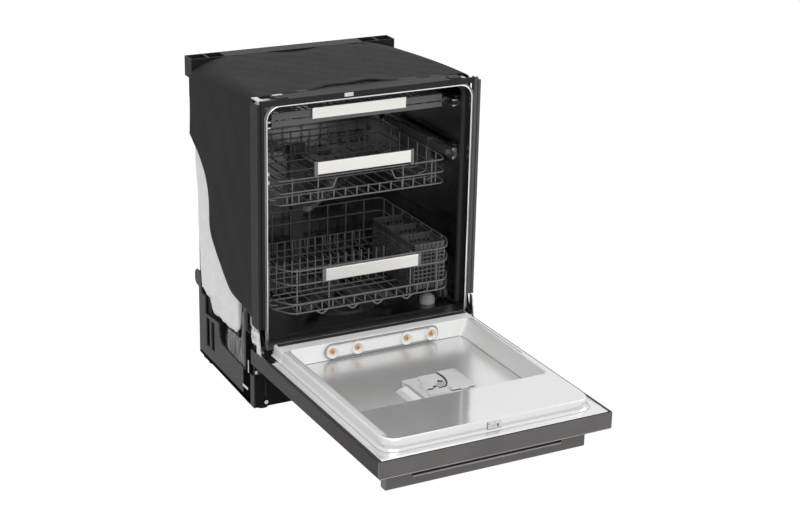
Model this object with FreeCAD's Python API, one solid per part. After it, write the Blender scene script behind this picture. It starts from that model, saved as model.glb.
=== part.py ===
import FreeCAD, Part
import math
import os

# A built-in dishwasher with its door let down, in millimetres.
# Pieces are drawn with Y = 0 on the front plane of the tub and shifted to the part's origin when written:
# X across, +Y to the back, +Z up, floor at Z = 0, origin at the middle of the footprint.

V = FreeCAD.Vector
x_axis = V(1, 0, 0)
y_axis = V(0, 1, 0)
z_axis = V(0, 0, 1)

# General clearances
gap = 0.3
run_clear = 0.06

# Tub and front frame
opening_width = 548.0
tub_height = 592.0
tub_depth = 434.0
tub_wall = 2.0
tub_corner = 32.0
tub_foot_corner = 8.0
tub_floor = 210.0
rim_side = 8.0
rim_top = 2.0
sill_depth = 30.0
sill_drop = 22.0
column_width = 18.0
column_proud = 2.0
column_plate = 4.5
column_return = 40.0
column_skin = 1.5
groove_width = 3.0
groove_depth = 3.0
strip_width = 7.0
strip_drop = 8.0
trim_height = 14.0
trim_return = 42.0
trim_skin = 1.5
trim_step = 30.0
seal_width = 10.0
seal_depth = 9.0

# Door
door_gap = 3.0
door_overhang = 1.5
door_thick = 40.0
door_skin = 1.2
door_over_frame = 12.0
door_heel = 44.0
hinge_drop = 26.0
roll_step = 1.0
strip_thick = 5.0
board_half = 120.0
board_depth = 12.0
board_inset = 2.0
dam_clear = 6.0
dam_corner = 40.0
dam_edge = 6.0
liner_skin = 1.2
flange_inset = 3.0
flange_heel = 36.0
hinge_notch_width = 25.0
hinge_notch_front = 40.0
ridge_start = 12.0
recess_far = 66.0
recess_near = 446.0
recess_side = 20.0
recess_depth = 46.0
recess_corner = 14.0
recess_draft = 18.0
handle_inset = 41.5
handle_end = 65.0
handle_bar = 25.0
handle_gap = 34.0
handle_setback = 46.0
handle_round = 4.0

# Hinges
pin_r = 4.0
bracket_plate = 3.0
bracket_inset = 13.0
bracket_height = 74.0
bracket_front = 12.0
bracket_back = 63.0
bracket_low = 12.0
arm_plate = 3.0
arm_forward = 190.0
arm_round = 11.0
arm_tail = 56.0
arm_tail_lean = 6.0
spring_wire_r = 1.0
spring_mean_r = 6.0
spring_turns = 3
spring_pitch = 2.4

# Dispenser on the door liner, places measured from the hinge line
cup_left = -52.0
cup_right = 100.0
cup_far = 272.0
cup_near = 384.0
cup_proud = 12.0
cup_sunk = 17.0
cup_wall = 4.0
cup_split = 26.0
tray_width = 28.0
lid_thick = 4.0
rinse_r = 16.0
rinse_height = 5.0

# Steam nozzles on the hinge-side wall of the recess
nozzle_places = [-135.0, -66.0, 70.0, 140.0]
nozzle_r = 17.5
nozzle_proud = 8.0
nozzle_bore_r = 9.0
nozzle_dish = 5.0
steam_plate_thick = 3.0
steam_plate_half = 20.0
steam_height = 22.0

# Latch
latch_half = 20.0
latch_front = 3.0
latch_depth = 21.0
bolt_half = 5.0
bolt_front = 9.0
bolt_depth = 8.0
keeper_x = 17.0
keeper_thick = 1.2

# Base
foot_pad = 7.7
base_side = 4.0
base_proud = 10.0
base_front = 64.0
base_back = 420.0
base_rise = 18.0
floor_taper = 16.0
floor_straight = 80.0
base_floor = 4.0
post_inset = 0.5
post_width = 25.0
rear_post_width = 39.0
front_post_depth = 46.0
rear_post_depth = 57.0
rear_wall = 4.0
foot_inset = 21.0
front_foot_y = 87.0
rear_foot_y = 392.0
foot_r = 16.0
stud_r = 5.0
stud_length = 54.0
stud_room = 20.0
floor_window_half = 150.0
floor_window_front = 250.0
floor_window_back = 380.0
toe_proud = 5.0
toe_thick = 2.0
toe_low = 10.0
toe_high = 98.0
toe_corner = 18.0
toe_flange = 26.0
toe_flange_skin = 1.5
toe_slot_inset = 22.0
toe_slot_half = 2.5
toe_slot_low = 34.0
toe_slot_high = 74.0
toe_screw_z = 21.0
screw_r = 2.0
screw_head_r = 5.0
screw_head = 3.0
screw_length = 15.0

# Side profile of the base, y then z, from the top of the front post round to the back post
base_profile = [(110.0, 205.0), (110.0, 92.0), (129.0, 94.0), (214.0, 98.0), (268.0, 104.0),
                (282.0, 116.0), (288.0, 155.0), (378.0, 150.0), (378.0, 197.0), (402.0, 199.0),
                (406.0, 212.0), (406.0, 244.0), (414.0, 254.0), (436.0, 254.0), (446.0, 244.0),
                (446.0, 222.0), (438.0, 214.0)]
base_slots = [(317.0, 339.0), (350.0, 372.0)]
base_slot_low = 62.0
base_slot_high = 142.0

# Rear crossbeam
beam_depth = 46.0
beam_proud = 12.0
beam_drop = 37.0
beam_height = 51.0
beam_skin = 3.0
beam_pocket = 92.0
beam_rib = 6.0

# Insulation over the tub
felt_side = 11.7
felt_top = 5.4
mat_thick = 4.0
mat_round = 20.0
mat_overhang = 7.0

# Cut edge of the outer mat, y then z, from the front corner to the back
mat_edge = [(50.0, 261.0), (111.0, 275.0), (187.0, 283.0), (243.0, 331.0), (313.0, 402.0), (318.0, 521.0),
            (384.0, 594.0)]
mat_back_height = 630.0

# Ragged lower edge of the felt, y then z
felt_edge = [(108.0, 270.0), (152.0, 266.0), (158.0, 188.0), (186.0, 167.0), (232.0, 166.0), (276.0, 168.0),
             (281.0, 163.0), (339.0, 161.0), (347.0, 200.0), (398.0, 208.0), (402.0, 290.0), (415.0, 450.0)]
felt_back_height = 560.0

# Fibre pad between the base and the felt, y then z
pad_outline = [(113.0, 75.0), (150.0, 70.0), (246.0, 100.0), (240.0, 160.0), (160.0, 160.0), (146.0, 184.0),
               (146.0, 236.0), (113.0, 258.0)]
pad_thick = 5.4

# Counter brackets
tab_inset = 64.0
tab_width = 30.0
tab_depth = 26.0
tab_front = 4.0
tab_thick = 2.0
tab_hole_r = 2.6

# Sump, filter and pumps
sump_y = 190.0
sump_r = 112.0
sump_wall = 3.0
sump_depth = 78.0
sump_flange = 14.0
sump_ledge = 8.0
ledge_thick = 4.0
hub_y = 228.0
hub_r = 16.0
hub_high = 222.0
arm_pin_r = 9.0
arm_pin_high = 246.0
filter_y = 130.0
filter_r = 38.0
filter_flange = 6.0
filter_deep = 66.0
filter_wall = 2.5
filter_plate_thick = 3.0
grip_height = 9.0
grip_half = 4.0
pump_z = 155.0
spigot_r = 18.0
spigot_length = 14.0
volute_r = 45.0
volute_length = 35.0
motor_r = 36.0
motor_clear = 48.0
pump_foot_half = 15.0
drain_r = 30.0
drain_length = 52.0
drain_pipe_r = 9.5
drain_proud = 20.0
valve_inset = 66.0
valve_z = 60.0
valve_half = 20.0
valve_depth = 34.0
inlet_r = 13.1
inlet_proud = 20.0
hose_stop = 2.0
box_inset = 51.0
box_width = 75.0
box_depth = 54.0
box_height = 50.0
box_wall = 2.5
float_inset = 69.0
float_y = 70.0
float_r = 20.0
float_height = 26.0

# Spray arms
lower_arm_r = 172.0
upper_arm_r = 185.0
arm_half = 17.0
arm_tip_half = 12.0
arm_thick = 13.0
lower_hub_r = 27.0
upper_hub_r = 20.0
jet_r = 1.6
jet_count = 5

# Feed pipe on the back wall
feed_half = 16.0
feed_depth = 10.0
dock_half = 22.0
dock_depth = 12.5
dock_drop = 240.0
dock_height = 97.0

# Racks
wire_r = 2.0
rack_handle_half = 127.0
rack_handle_height = 32.0
rack_handle_thick = 6.0
cap_width = 9.0
cap_over = 2.0
cap_thick = 6.0

# Lower rack
lower_clear = 29.0
lower_nose = 33.0
lower_front = -10.0
lower_chamfer = 55.0
lower_back = 412.0
lower_levels = [276.0, 300.0, 350.0, 386.0]
lower_handle_low = 352.0
lower_uprights = 8
lower_side_uprights = 6
lower_floor_count = 14
lower_floor_cross = [40.0, 96.0, 166.0, 226.0, 306.0, 366.0]
wheel_r = 16.3
wheel_width = 10.0
wheel_clear = 18.0
wheel_places = [80.0, 350.0]
wheel_rim = 4.0
wheel_web = 4.0
axle_r = 3.0
axle_hub_r = 6.5
bracket_half = 10.0
bracket_thick = 4.0
axle_end = 2.0

# Tine rows of the lower rack
tine_rows = {"front_tine_row": 124.0, "rear_tine_row": 262.0}
tine_side = 40.0
tine_basket_gap = 13.0
tine_count = 15
tine_inset = 8.0
tine_r = 1.7
tine_height = 86.0

# Cutlery basket
basket_side = 28.0
basket_width = 92.0
basket_front = 4.0
basket_depth = 226.0
basket_top = 400.0
basket_wall = 2.5
basket_cells = 3
basket_round = 8.0

# Upper rack
upper_clear = 38.0
upper_nose = 10.0
upper_front = 40.0
upper_chamfer = 30.0
upper_back = 412.0
upper_drops = [261.0, 232.0, 200.0]
upper_handle_drop = 193.0
upper_uprights = 8
upper_side_uprights = 6
upper_floor_count = 14
upper_floor_cross = [100.0, 190.0, 280.0, 360.0]
feed_tube_r = 9.0
upper_pin_r = 8.0
upper_pin_flange = 4.0
upper_hub_height = 20.0

# Runners of the upper rack
rail_drop = 204.0
rail_height = 30.0
rail_lip = 4.0
rail_width = 14.0
rail_back = 3.0
rail_front = 42.0
rail_end = 424.0
rail_boss_places = [80.0, 380.0]
rail_boss_half = 12.0
slide_lip = 4.0
slide_back = 3.3
runner_front = 60.0
runner_end = 400.0
lift_drop = 246.0
lift_front = 150.0
lift_end = 310.0
lift_web = 3.0

# Third rack
third_clear = 40.0
third_front = 70.0
third_back = 418.0
third_drop = 72.0
third_wall_height = 34.0
third_wall = 3.0
third_windows_x = 5
third_windows_y = 3
third_window_bar = 14.0
third_rail_drop = 66.0
third_rail_height = 18.0
third_rail_lip = 4.0
third_handle_drop = 62.0
third_handle_height = 29.0

# Worked out from the sizes above
opening_half = opening_width / 2
tub_half = opening_half + tub_wall
tub_ceiling = tub_floor + tub_height
tub_back = tub_depth + tub_wall
tub_under = tub_floor - tub_wall
rim_half = opening_half + rim_side
rim_high = tub_ceiling + rim_top
body_half = rim_half + column_width
frame_top = rim_high + trim_height
sill_floor = tub_floor - sill_drop
pivot_z = tub_floor - hinge_drop
flange_z = pivot_z - door_gap
outer_z = flange_z - door_thick
dam_height = hinge_drop + door_gap - roll_step
platform_z = flange_z + dam_height
dam_plane = platform_z - pivot_z
door_half = body_half + door_overhang
door_reach = frame_top + door_over_frame - pivot_z
dam_half = opening_half - dam_clear
dam_reach = tub_ceiling - dam_clear - pivot_z
recess_half = dam_half - recess_side
recess_floor = platform_z - recess_depth
flange_half = door_half - flange_inset
body_depth = tub_back + beam_depth
front_y = (door_reach - body_depth) / 2
handle_half = door_half - handle_inset
base_low = foot_pad + gap
base_half = tub_half + base_proud
base_inner = base_half - base_side
foot_x = tub_half - foot_inset
valve_x = valve_inset - tub_half
box_right = tub_half - box_inset
box_left = box_right - box_width
float_x = opening_half - float_inset
motor_length = base_inner - motor_clear - sump_r - sump_wall - spigot_length - volute_length
toe_half = tub_half + toe_proud
toe_slot_x = tub_half - toe_slot_inset
beam_half = tub_half + beam_proud
beam_low = tub_ceiling - beam_drop
tab_inner = rim_half - tab_inset
post_outer = tub_half - post_inset
column_low = pivot_z + arm_tail + arm_round / 2
felt_half = tub_half + gap + felt_side
felt_high = tub_ceiling + tub_wall + gap + felt_top
mat_half = felt_half + gap + mat_thick
mat_high = felt_high + gap + mat_thick
insulation_front = column_return + 2 + gap
dock_high = tub_ceiling - dock_drop
dock_low = dock_high - dock_height
lower_half = opening_half - lower_clear
lower_nose_half = lower_half - lower_nose
basket_right = lower_half - basket_side
basket_left = basket_right - basket_width
tine_left = tine_side - lower_half
tine_right = basket_left - tine_basket_gap
upper_half = opening_half - upper_clear
upper_nose_half = upper_half - upper_nose
upper_levels = [tub_ceiling - drop for drop in upper_drops]
upper_handle_low = tub_ceiling - upper_handle_drop
upper_floor = upper_levels[0] - 2 * wire_r
rail_z = tub_ceiling - rail_drop
lift_low = tub_ceiling - lift_drop
third_half = opening_half - third_clear
third_low = tub_ceiling - third_drop
third_rail_z = tub_ceiling - third_rail_drop
third_handle_low = tub_ceiling - third_handle_drop
wheel_x = opening_half - wheel_clear
wheel_z = tub_floor + gap + wheel_r
rail_inner = opening_half - seal_width - gap - rail_width + 0.6
rail_outer = rail_inner + rail_width
seal_front = dam_plane + gap
latch_height = dam_clear - keeper_thick - 2 * gap


def box(x0, x1, y0, y1, z0, z1):
    return Part.makeBox(x1 - x0, y1 - y0, z1 - z0, V(x0, y0, z0))


def cylinder(r, length, start, along=z_axis):
    return Part.makeCylinder(r, length, start, along)


def rod(start, end, r):
    a = V(*start)
    along = V(*end) - a
    return cylinder(r, along.Length, a, along)


def mirrored(shape):
    return shape.mirror(V(0, 0, 0), x_axis)


def pair(shape):
    return Part.makeCompound([shape, mirrored(shape)])


def joined(shapes):
    return shapes[0].multiFuse(shapes[1:]).removeSplitter()


def polygon(points):
    return Part.Face(Part.makePolygon(points + [points[0]]))


def plate_x(points, x0, x1):
    # A flat plate whose outline is given in y and z, from x0 to x1
    return polygon([V(x0, y, z) for y, z in points]).extrude(V(x1 - x0, 0, 0))


def plate_y(points, y0, y1):
    # A flat plate whose outline is given in x and z, from y0 to y1
    return polygon([V(x, y0, z) for x, z in points]).extrude(V(0, y1 - y0, 0))


def plate_z(points, z0, z1):
    # A flat plate whose outline is given in x and y, from z0 to z1
    return polygon([V(x, y, z0) for x, y in points]).extrude(V(0, 0, z1 - z0))


def rounded_outline(x0, x1, y0, y1, z, r):
    # A closed rectangle with round corners, lying flat at height z
    s = r * math.sqrt(0.5)
    corners = [(x1 - r, y0 + r, 1, -1), (x1 - r, y1 - r, 1, 1),
               (x0 + r, y1 - r, -1, 1), (x0 + r, y0 + r, -1, -1)]
    edges = []
    first = last = None
    for i, (cx, cy, sx, sy) in enumerate(corners):
        side = V(cx + sx * r, cy, z)
        end = V(cx, cy + sy * r, z)
        enter, leave = (end, side) if i % 2 == 0 else (side, end)
        if last is None:
            first = enter
        else:
            edges.append(Part.LineSegment(last, enter).toShape())
        edges.append(Part.Arc(enter, V(cx + sx * s, cy + sy * s, z), leave).toShape())
        last = leave
    edges.append(Part.LineSegment(last, first).toShape())
    return Part.Wire(edges)


def rounded_block(x0, x1, y0, y1, z0, z1, r):
    return Part.Face(rounded_outline(x0, x1, y0, y1, z0, r)).extrude(V(0, 0, z1 - z0))


def tunnel(half, z0, z1, y0, y1, r_low, r_high):
    # A block with round long edges: r_low at the bottom corners and r_high at the top corners
    def at(x, z):
        return V(x, y0, z)

    s = math.sqrt(0.5)
    low = [at(-half + r_low, z0), at(half - r_low, z0)]
    edges = [Part.LineSegment(*low).toShape()]
    if r_low > 0:
        edges.append(Part.Arc(low[1], at(half - r_low + r_low * s, z0 + r_low - r_low * s),
                              at(half, z0 + r_low)).toShape())
    edges.append(Part.LineSegment(at(half, z0 + r_low), at(half, z1 - r_high)).toShape())
    edges.append(Part.Arc(at(half, z1 - r_high), at(half - r_high + r_high * s, z1 - r_high + r_high * s),
                          at(half - r_high, z1)).toShape())
    edges.append(Part.LineSegment(at(half - r_high, z1), at(-half + r_high, z1)).toShape())
    edges.append(Part.Arc(at(-half + r_high, z1), at(-half + r_high - r_high * s, z1 - r_high + r_high * s),
                          at(-half, z1 - r_high)).toShape())
    edges.append(Part.LineSegment(at(-half, z1 - r_high), at(-half, z0 + r_low)).toShape())
    if r_low > 0:
        edges.append(Part.Arc(at(-half, z0 + r_low), at(-half + r_low - r_low * s, z0 + r_low - r_low * s),
                              low[0]).toShape())
    return Part.Face(Part.Wire(edges)).extrude(V(0, y1 - y0, 0))


def spread(first, last, count):
    step = (last - first) / (count - 1)
    return [first + step * i for i in range(count)]


# Tub, front frame and seal

def make_tub():
    outer = tunnel(tub_half, tub_under, tub_ceiling + tub_wall, 0, tub_back,
                   tub_foot_corner + tub_wall, tub_corner + tub_wall)
    rim = tunnel(rim_half, sill_floor - tub_wall, rim_high, 0, tub_wall, 0, tub_corner + rim_top)
    sill = box(-tub_half, tub_half, 0, sill_depth + tub_wall, sill_floor - tub_wall,
               tub_floor + tub_foot_corner)
    inside = tunnel(opening_half, tub_floor, tub_ceiling, -1, tub_depth, tub_foot_corner, tub_corner)
    step = box(-opening_half, opening_half, -1, sill_depth, sill_floor, tub_floor + tub_corner)
    drain = cylinder(sump_r, 4 * tub_wall, V(0, sump_y, tub_under - tub_wall))
    return joined([outer, rim, sill]).cut([inside, step, drain])


def make_column():
    face_x = body_half - strip_width - groove_width
    inner_y = column_plate - column_proud
    outline = [(rim_half, -column_proud), (face_x, -column_proud), (face_x, groove_depth - column_proud),
               (face_x + groove_width, groove_depth - column_proud), (face_x + groove_width, -column_proud),
               (body_half, -column_proud), (body_half, column_return),
               (body_half - column_skin, column_return), (body_half - column_skin, inner_y),
               (rim_half, inner_y)]
    post = plate_z(outline, column_low, frame_top)
    notch = box(face_x + groove_width, body_half + 1, -column_proud - 1, column_return + 1,
                frame_top - strip_drop, frame_top + 1)
    return post.cut(notch)


def tab_hole(x):
    return cylinder(tab_hole_r, 2 * trim_height, V(x, tab_front + tab_depth / 2, frame_top - trim_height))


def make_top_trim():
    inner_y = column_plate - column_proud
    hole_x = tab_inner + tab_width / 2
    outline = [(-column_proud, rim_high), (inner_y, rim_high), (inner_y, frame_top - trim_skin),
               (trim_return, frame_top - trim_skin), (trim_return, frame_top), (-column_proud, frame_top)]
    end = rim_half - trim_step
    corners = [box(x0, x0 + trim_step + 1, inner_y, trim_return + 1, rim_high, frame_top + 1)
               for x0 in (-rim_half - 1, end)]
    return plate_x(outline, -rim_half, rim_half).cut([tab_hole(-hole_x), tab_hole(hole_x)] + corners)


def make_seal():
    low = tub_floor + tub_foot_corner
    band = tunnel(opening_half, low, tub_ceiling, seal_front, seal_front + seal_depth, 0, tub_corner)
    clear = tunnel(opening_half - seal_width, low - 1, tub_ceiling - seal_width, seal_front - 1,
                   seal_front + seal_depth + 1, 0, tub_corner - seal_width)
    return band.cut(clear)


def make_counter_brackets():
    tab = box(tab_inner, tab_inner + tab_width, tab_front, tab_front + tab_depth,
              frame_top, frame_top + tab_thick)
    return pair(tab.cut(tab_hole(tab_inner + tab_width / 2)))


def make_rear_beam():
    low, high = beam_low, beam_low + beam_height
    front, back = tub_back, tub_back + beam_depth
    beam = box(-beam_half, beam_half, front, back, low, high)
    cuts = []
    inner = beam_half - beam_pocket
    cell = (beam_pocket - beam_skin - beam_rib) / 2
    for x0 in (inner, inner + cell + beam_rib):
        pocket = box(x0, x0 + cell, front + beam_skin, back - beam_skin, low + beam_height / 2, high + 1)
        cuts += [pocket, mirrored(pocket)]
    middle = inner - beam_rib
    cuts.append(box(-middle, middle, front + beam_skin, back + 1, low + beam_skin, high - beam_skin))
    cuts.append(box(-beam_half + beam_skin, beam_half - beam_skin, front + beam_skin, back - beam_skin,
                    low - 1, low + beam_height / 2 - beam_skin))
    return beam.cut(cuts)


# Insulation

def side_cut(front, edge, back, back_height, high):
    # A slab across the whole width whose lower edge is a ragged line in y and z
    points = [V(0, front, edge[0][1])] + [V(0, y, z) for y, z in edge] + [V(0, back, back_height)]
    points += [V(0, back, high), V(0, front, high), points[0]]
    face = Part.Face(Part.makePolygon(points))
    face.translate(V(-2 * body_half, 0, 0))
    return face.extrude(V(4 * body_half, 0, 0))


def make_mat():
    back = tub_back + mat_overhang
    outer = tunnel(mat_half, 0, mat_high, insulation_front, back, 0, mat_round)
    inner = tunnel(mat_half - mat_thick, -1, mat_high - mat_thick, insulation_front - 1, back + 1, 0,
                   mat_round - mat_thick)
    shell = outer.cut(inner)
    behind = box(-felt_half - gap / 2, felt_half + gap / 2, tub_back - gap, back + 1, 0, mat_high + 1)
    return shell.common(side_cut(insulation_front, mat_edge, back, mat_back_height, mat_high + 1)).cut(behind)


def make_felt():
    back = tub_back - mat_overhang
    outer = tunnel(felt_half, 0, felt_high, insulation_front, back, 0, mat_round - mat_thick - gap)
    inner = tunnel(tub_half + gap, -1, tub_ceiling + tub_wall + gap, insulation_front - 1, back + 1, 0,
                   tub_corner + tub_wall + gap)
    keep = side_cut(insulation_front, felt_edge, back, felt_back_height, felt_high + 1)
    return outer.cut(inner).common(keep)


def make_fibre_pads():
    return pair(plate_x(pad_outline, tub_half + gap, tub_half + gap + pad_thick))


# Base, feet and toe kick

def make_base():
    profile = [(base_front, base_low), (base_back, base_low + base_rise),
               (base_back, base_profile[-1][1] - base_side)]
    profile += list(reversed(base_profile)) + [(base_front, base_profile[0][1])]
    side = plate_x(profile, base_inner, base_half)
    slots = [box(base_inner - 1, base_half + 1, y0, y1, base_slot_low, base_slot_high)
             for y0, y1 in base_slots]
    side = side.cut(slots)
    corner = base_front + floor_straight
    narrow = base_inner - floor_taper
    right = [(base_inner, base_front), (base_inner, corner), (narrow, base_back)]
    outline = right + [(-x, y) for x, y in reversed(right)]
    floor = plate_z(outline, base_low, base_low + base_floor)
    window = box(-floor_window_half, floor_window_half, floor_window_front, floor_window_back,
                 0, 2 * base_low)
    right = [(narrow, base_low), (base_inner, base_low + base_rise), (base_inner, tub_under)]
    outline = right + [(-x, z) for x, z in reversed(right)]
    wall = plate_y(outline, base_back - rear_wall, base_back)
    view = box(-floor_window_half + sump_r, floor_window_half, base_back - 2 * rear_wall, base_back + 1,
               base_low + 2 * foot_r, tub_under - foot_r)
    front_post = box(post_outer - post_width, post_outer, base_front, base_front + front_post_depth,
                     base_low, tub_under)
    rear_post = box(post_outer - rear_post_width, post_outer, base_back - rear_post_depth, base_back,
                    base_low, tub_under)
    half = [side, front_post, rear_post]
    body = joined([floor, wall] + half + [mirrored(s) for s in half])
    holes = [window, view]
    for x in (-foot_x, foot_x):
        for y in (front_foot_y, rear_foot_y):
            holes.append(cylinder(stud_r + run_clear, stud_length + stud_room, V(x, y, 0)))
        x_screw = math.copysign(toe_slot_x, x)
        holes.append(cylinder(screw_r + run_clear, screw_length + 2, V(x_screw, base_front - 1, toe_screw_z),
                                       y_axis))
    hole_y = base_back - 2 * rear_wall
    holes.append(cylinder(inlet_r + hose_stop + gap, 3 * rear_wall, V(valve_x, hole_y, valve_z), y_axis))
    drain_hole_r = drain_pipe_r + hose_stop + gap
    holes.append(cylinder(drain_hole_r, 3 * rear_wall, V(drain_x(), hole_y, pump_z), y_axis))
    return body.cut(holes)


def make_foot(x, y):
    pad = Part.makeCone(foot_r, foot_r - 2, foot_pad, V(x, y, 0))
    stud = cylinder(stud_r, stud_length, V(x, y, foot_pad))
    return joined([pad, stud])


def make_toe_kick():
    y1 = base_front
    y0 = y1 - toe_thick
    plate = box(-toe_half, toe_half, y0, y1, toe_low, toe_high)
    corner = [e for e in plate.Edges if abs(abs(e.CenterOfMass.x) - toe_half) < 0.01
              and abs(e.CenterOfMass.z - toe_high) < 0.01]
    plate = plate.makeFillet(toe_corner, corner)
    flange_low = base_low + base_floor + gap
    flange = box(toe_half - toe_flange_skin, toe_half, y0, y1 + toe_flange, flange_low, toe_high - toe_corner)
    body = joined([plate, flange, mirrored(flange)])
    cuts = []
    for x in (-toe_slot_x, toe_slot_x):
        cuts.append(box(x - toe_slot_half, x + toe_slot_half, y0 - 1, y1 + 1, toe_slot_low, toe_slot_high))
        cuts.append(cylinder(screw_r + run_clear, 3 * toe_thick, V(x, y0 - 1, toe_screw_z), y_axis))
    return body.cut(cuts)


def make_toe_screws():
    y0 = base_front - toe_thick
    head = cylinder(screw_head_r, screw_head, V(toe_slot_x, y0 - screw_head, toe_screw_z), y_axis)
    shank = cylinder(screw_r, screw_length, V(toe_slot_x, y0, toe_screw_z), y_axis)
    recess = box(toe_slot_x - screw_r, toe_slot_x + screw_r, y0 - screw_head - 1, y0 - screw_head / 2,
                 toe_screw_z - screw_r / 2, toe_screw_z + screw_r / 2)
    return pair(joined([head, shank]).cut(recess))


# Water system

def drain_x():
    return -(sump_r + sump_wall + spigot_length + drain_length / 2)


def make_sump():
    outer_r = sump_r + sump_wall
    low = tub_under - sump_depth
    inner_low = low + sump_wall
    cup = cylinder(outer_r, sump_depth - ledge_thick, V(0, sump_y, low))
    flange = cylinder(sump_r + sump_flange, ledge_thick, V(0, sump_y, tub_under - ledge_thick))
    spigots = [cylinder(spigot_r, 2 * (outer_r + spigot_length), V(-outer_r - spigot_length, sump_y, pump_z),
                                 x_axis)]
    hollow = [cylinder(sump_r - sump_ledge, sump_depth, V(0, sump_y, inner_low)),
              cylinder(sump_r, sump_depth, V(0, sump_y, tub_under - tub_wall)),
              cylinder(spigot_r - sump_wall, 2 * (outer_r + spigot_length) + 2,
                                V(-outer_r - spigot_length - 1, sump_y, pump_z), x_axis)]
    post = cylinder(hub_r, hub_high - low - 1, V(0, hub_y, low + 1))
    pin = cylinder(arm_pin_r, arm_pin_high - low - 1, V(0, hub_y, low + 1))
    return joined([joined([cup, flange] + spigots).cut(hollow), post, pin])


def make_filter_plate():
    z = tub_under - tub_wall
    plate = cylinder(sump_r - gap, filter_plate_thick, V(0, sump_y, z))
    holes = [cylinder(hub_r + gap, 3 * filter_plate_thick, V(0, hub_y, z - filter_plate_thick)),
             cylinder(filter_r + gap, 3 * filter_plate_thick, V(0, filter_y, z - filter_plate_thick))]
    return plate.cut(holes)


def make_filter_cup():
    top = tub_under - tub_wall + filter_plate_thick + gap
    body = cylinder(filter_r, filter_deep, V(0, filter_y, top - filter_deep + filter_wall))
    rim = cylinder(filter_r + filter_flange, filter_wall, V(0, filter_y, top))
    hollow = cylinder(filter_r - filter_wall, filter_deep,
                      V(0, filter_y, top - filter_deep + 2 * filter_wall))
    grip = box(-filter_r, filter_r, filter_y - grip_half, filter_y + grip_half, top, top + grip_height)
    return joined([joined([body, rim]).cut(hollow), grip])


def pump_foot(x):
    half = pump_foot_half
    return box(x - half, x + half, sump_y - half, sump_y + half, base_low + base_floor, pump_z)


def make_wash_pump():
    x0 = sump_r + sump_wall + spigot_length
    volute = cylinder(volute_r, volute_length, V(x0, sump_y, pump_z), x_axis)
    motor = cylinder(motor_r, motor_length, V(x0 + volute_length, sump_y, pump_z), x_axis)
    middle = x0 + volute_length + motor_length / 2
    foot = pump_foot(middle)
    return joined([volute, motor, foot])


def make_drain_pump():
    x0 = sump_r + sump_wall + spigot_length
    body = cylinder(drain_r, drain_length, V(-x0 - drain_length, sump_y, pump_z), x_axis)
    foot = pump_foot(drain_x())
    pipe = cylinder(drain_pipe_r + hose_stop, base_back - sump_y, V(drain_x(), sump_y, pump_z), y_axis)
    spout = cylinder(drain_pipe_r, base_back + drain_proud - sump_y, V(drain_x(), sump_y, pump_z), y_axis)
    bore = cylinder(drain_pipe_r - filter_wall, base_back, V(drain_x(), sump_y + drain_r, pump_z), y_axis)
    return joined([body, foot, pipe, spout]).cut(bore)


def make_inlet_valve():
    back = base_back - rear_wall
    body = box(valve_x - valve_half, valve_x + valve_half, back - valve_depth, back, valve_z - valve_half,
               valve_z + valve_half)
    collar = cylinder(inlet_r + hose_stop, rear_wall + 1, V(valve_x, back - 1, valve_z), y_axis)
    stub = cylinder(inlet_r, inlet_proud + 1, V(valve_x, base_back - 1, valve_z), y_axis)
    bore = cylinder(inlet_r - filter_wall, inlet_proud, V(valve_x, base_back, valve_z), y_axis)
    coil = cylinder(valve_half * 0.6, valve_half * 1.5, V(valve_x, back - valve_depth / 2, valve_z), z_axis)
    return joined([body, collar, stub, coil]).cut(bore)


def make_junction_box():
    y0 = base_front + toe_flange
    z0 = base_low + base_floor
    shell = box(box_left, box_right, y0, y0 + box_depth, z0, z0 + box_height)
    inside = box(box_left + box_wall, box_right - box_wall, y0 + box_wall, y0 + box_depth - box_wall,
                 z0 + box_wall, z0 + box_height + 1)
    return shell.cut(inside)


def make_float_cap():
    z0 = tub_floor
    body = cylinder(float_r, float_height - float_r / 2, V(float_x, float_y, z0))
    dome = Part.makeSphere(float_r, V(float_x, float_y, z0 + float_height - float_r))
    keep = cylinder(float_r, float_height, V(float_x, float_y, z0))
    return joined([body, dome.common(keep)])


def spray_arm(centre_y, hub_radius, bore_r, z0, reach, blades, hub_low, hub_high):
    # Flat tapered blades round a bored hub, with a row of jet holes along each blade
    blade = plate_z([(0, -arm_half), (reach - arm_tip_half, -arm_tip_half), (reach, -arm_tip_half / 2),
                     (reach, arm_tip_half / 2), (reach - arm_tip_half, arm_tip_half), (0, arm_half)],
                    z0, z0 + arm_thick)
    jets = [cylinder(jet_r, 3 * arm_thick, V(x, 0, z0 - arm_thick))
            for x in spread(hub_radius * 2, reach - arm_tip_half, jet_count)]
    blade = blade.cut(jets)
    shapes = [cylinder(hub_radius, hub_high - hub_low, V(0, 0, hub_low))]
    for i in range(blades):
        turned = blade.copy()
        turned.rotate(V(0, 0, 0), z_axis, 360.0 * i / blades + 45)
        shapes.append(turned)
    bore = cylinder(bore_r + run_clear, 6 * arm_thick, V(0, 0, z0 - 3 * arm_thick))
    arm = joined(shapes).cut(bore)
    arm.translate(V(0, centre_y, 0))
    return arm


def make_feed_pipe():
    pipe = box(-feed_half, feed_half, tub_depth - feed_depth, tub_depth, tub_floor, dock_high)
    dock = box(-dock_half, dock_half, tub_depth - dock_depth, tub_depth, dock_low, dock_high)
    return joined([pipe, dock])


# Rack parts

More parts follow.
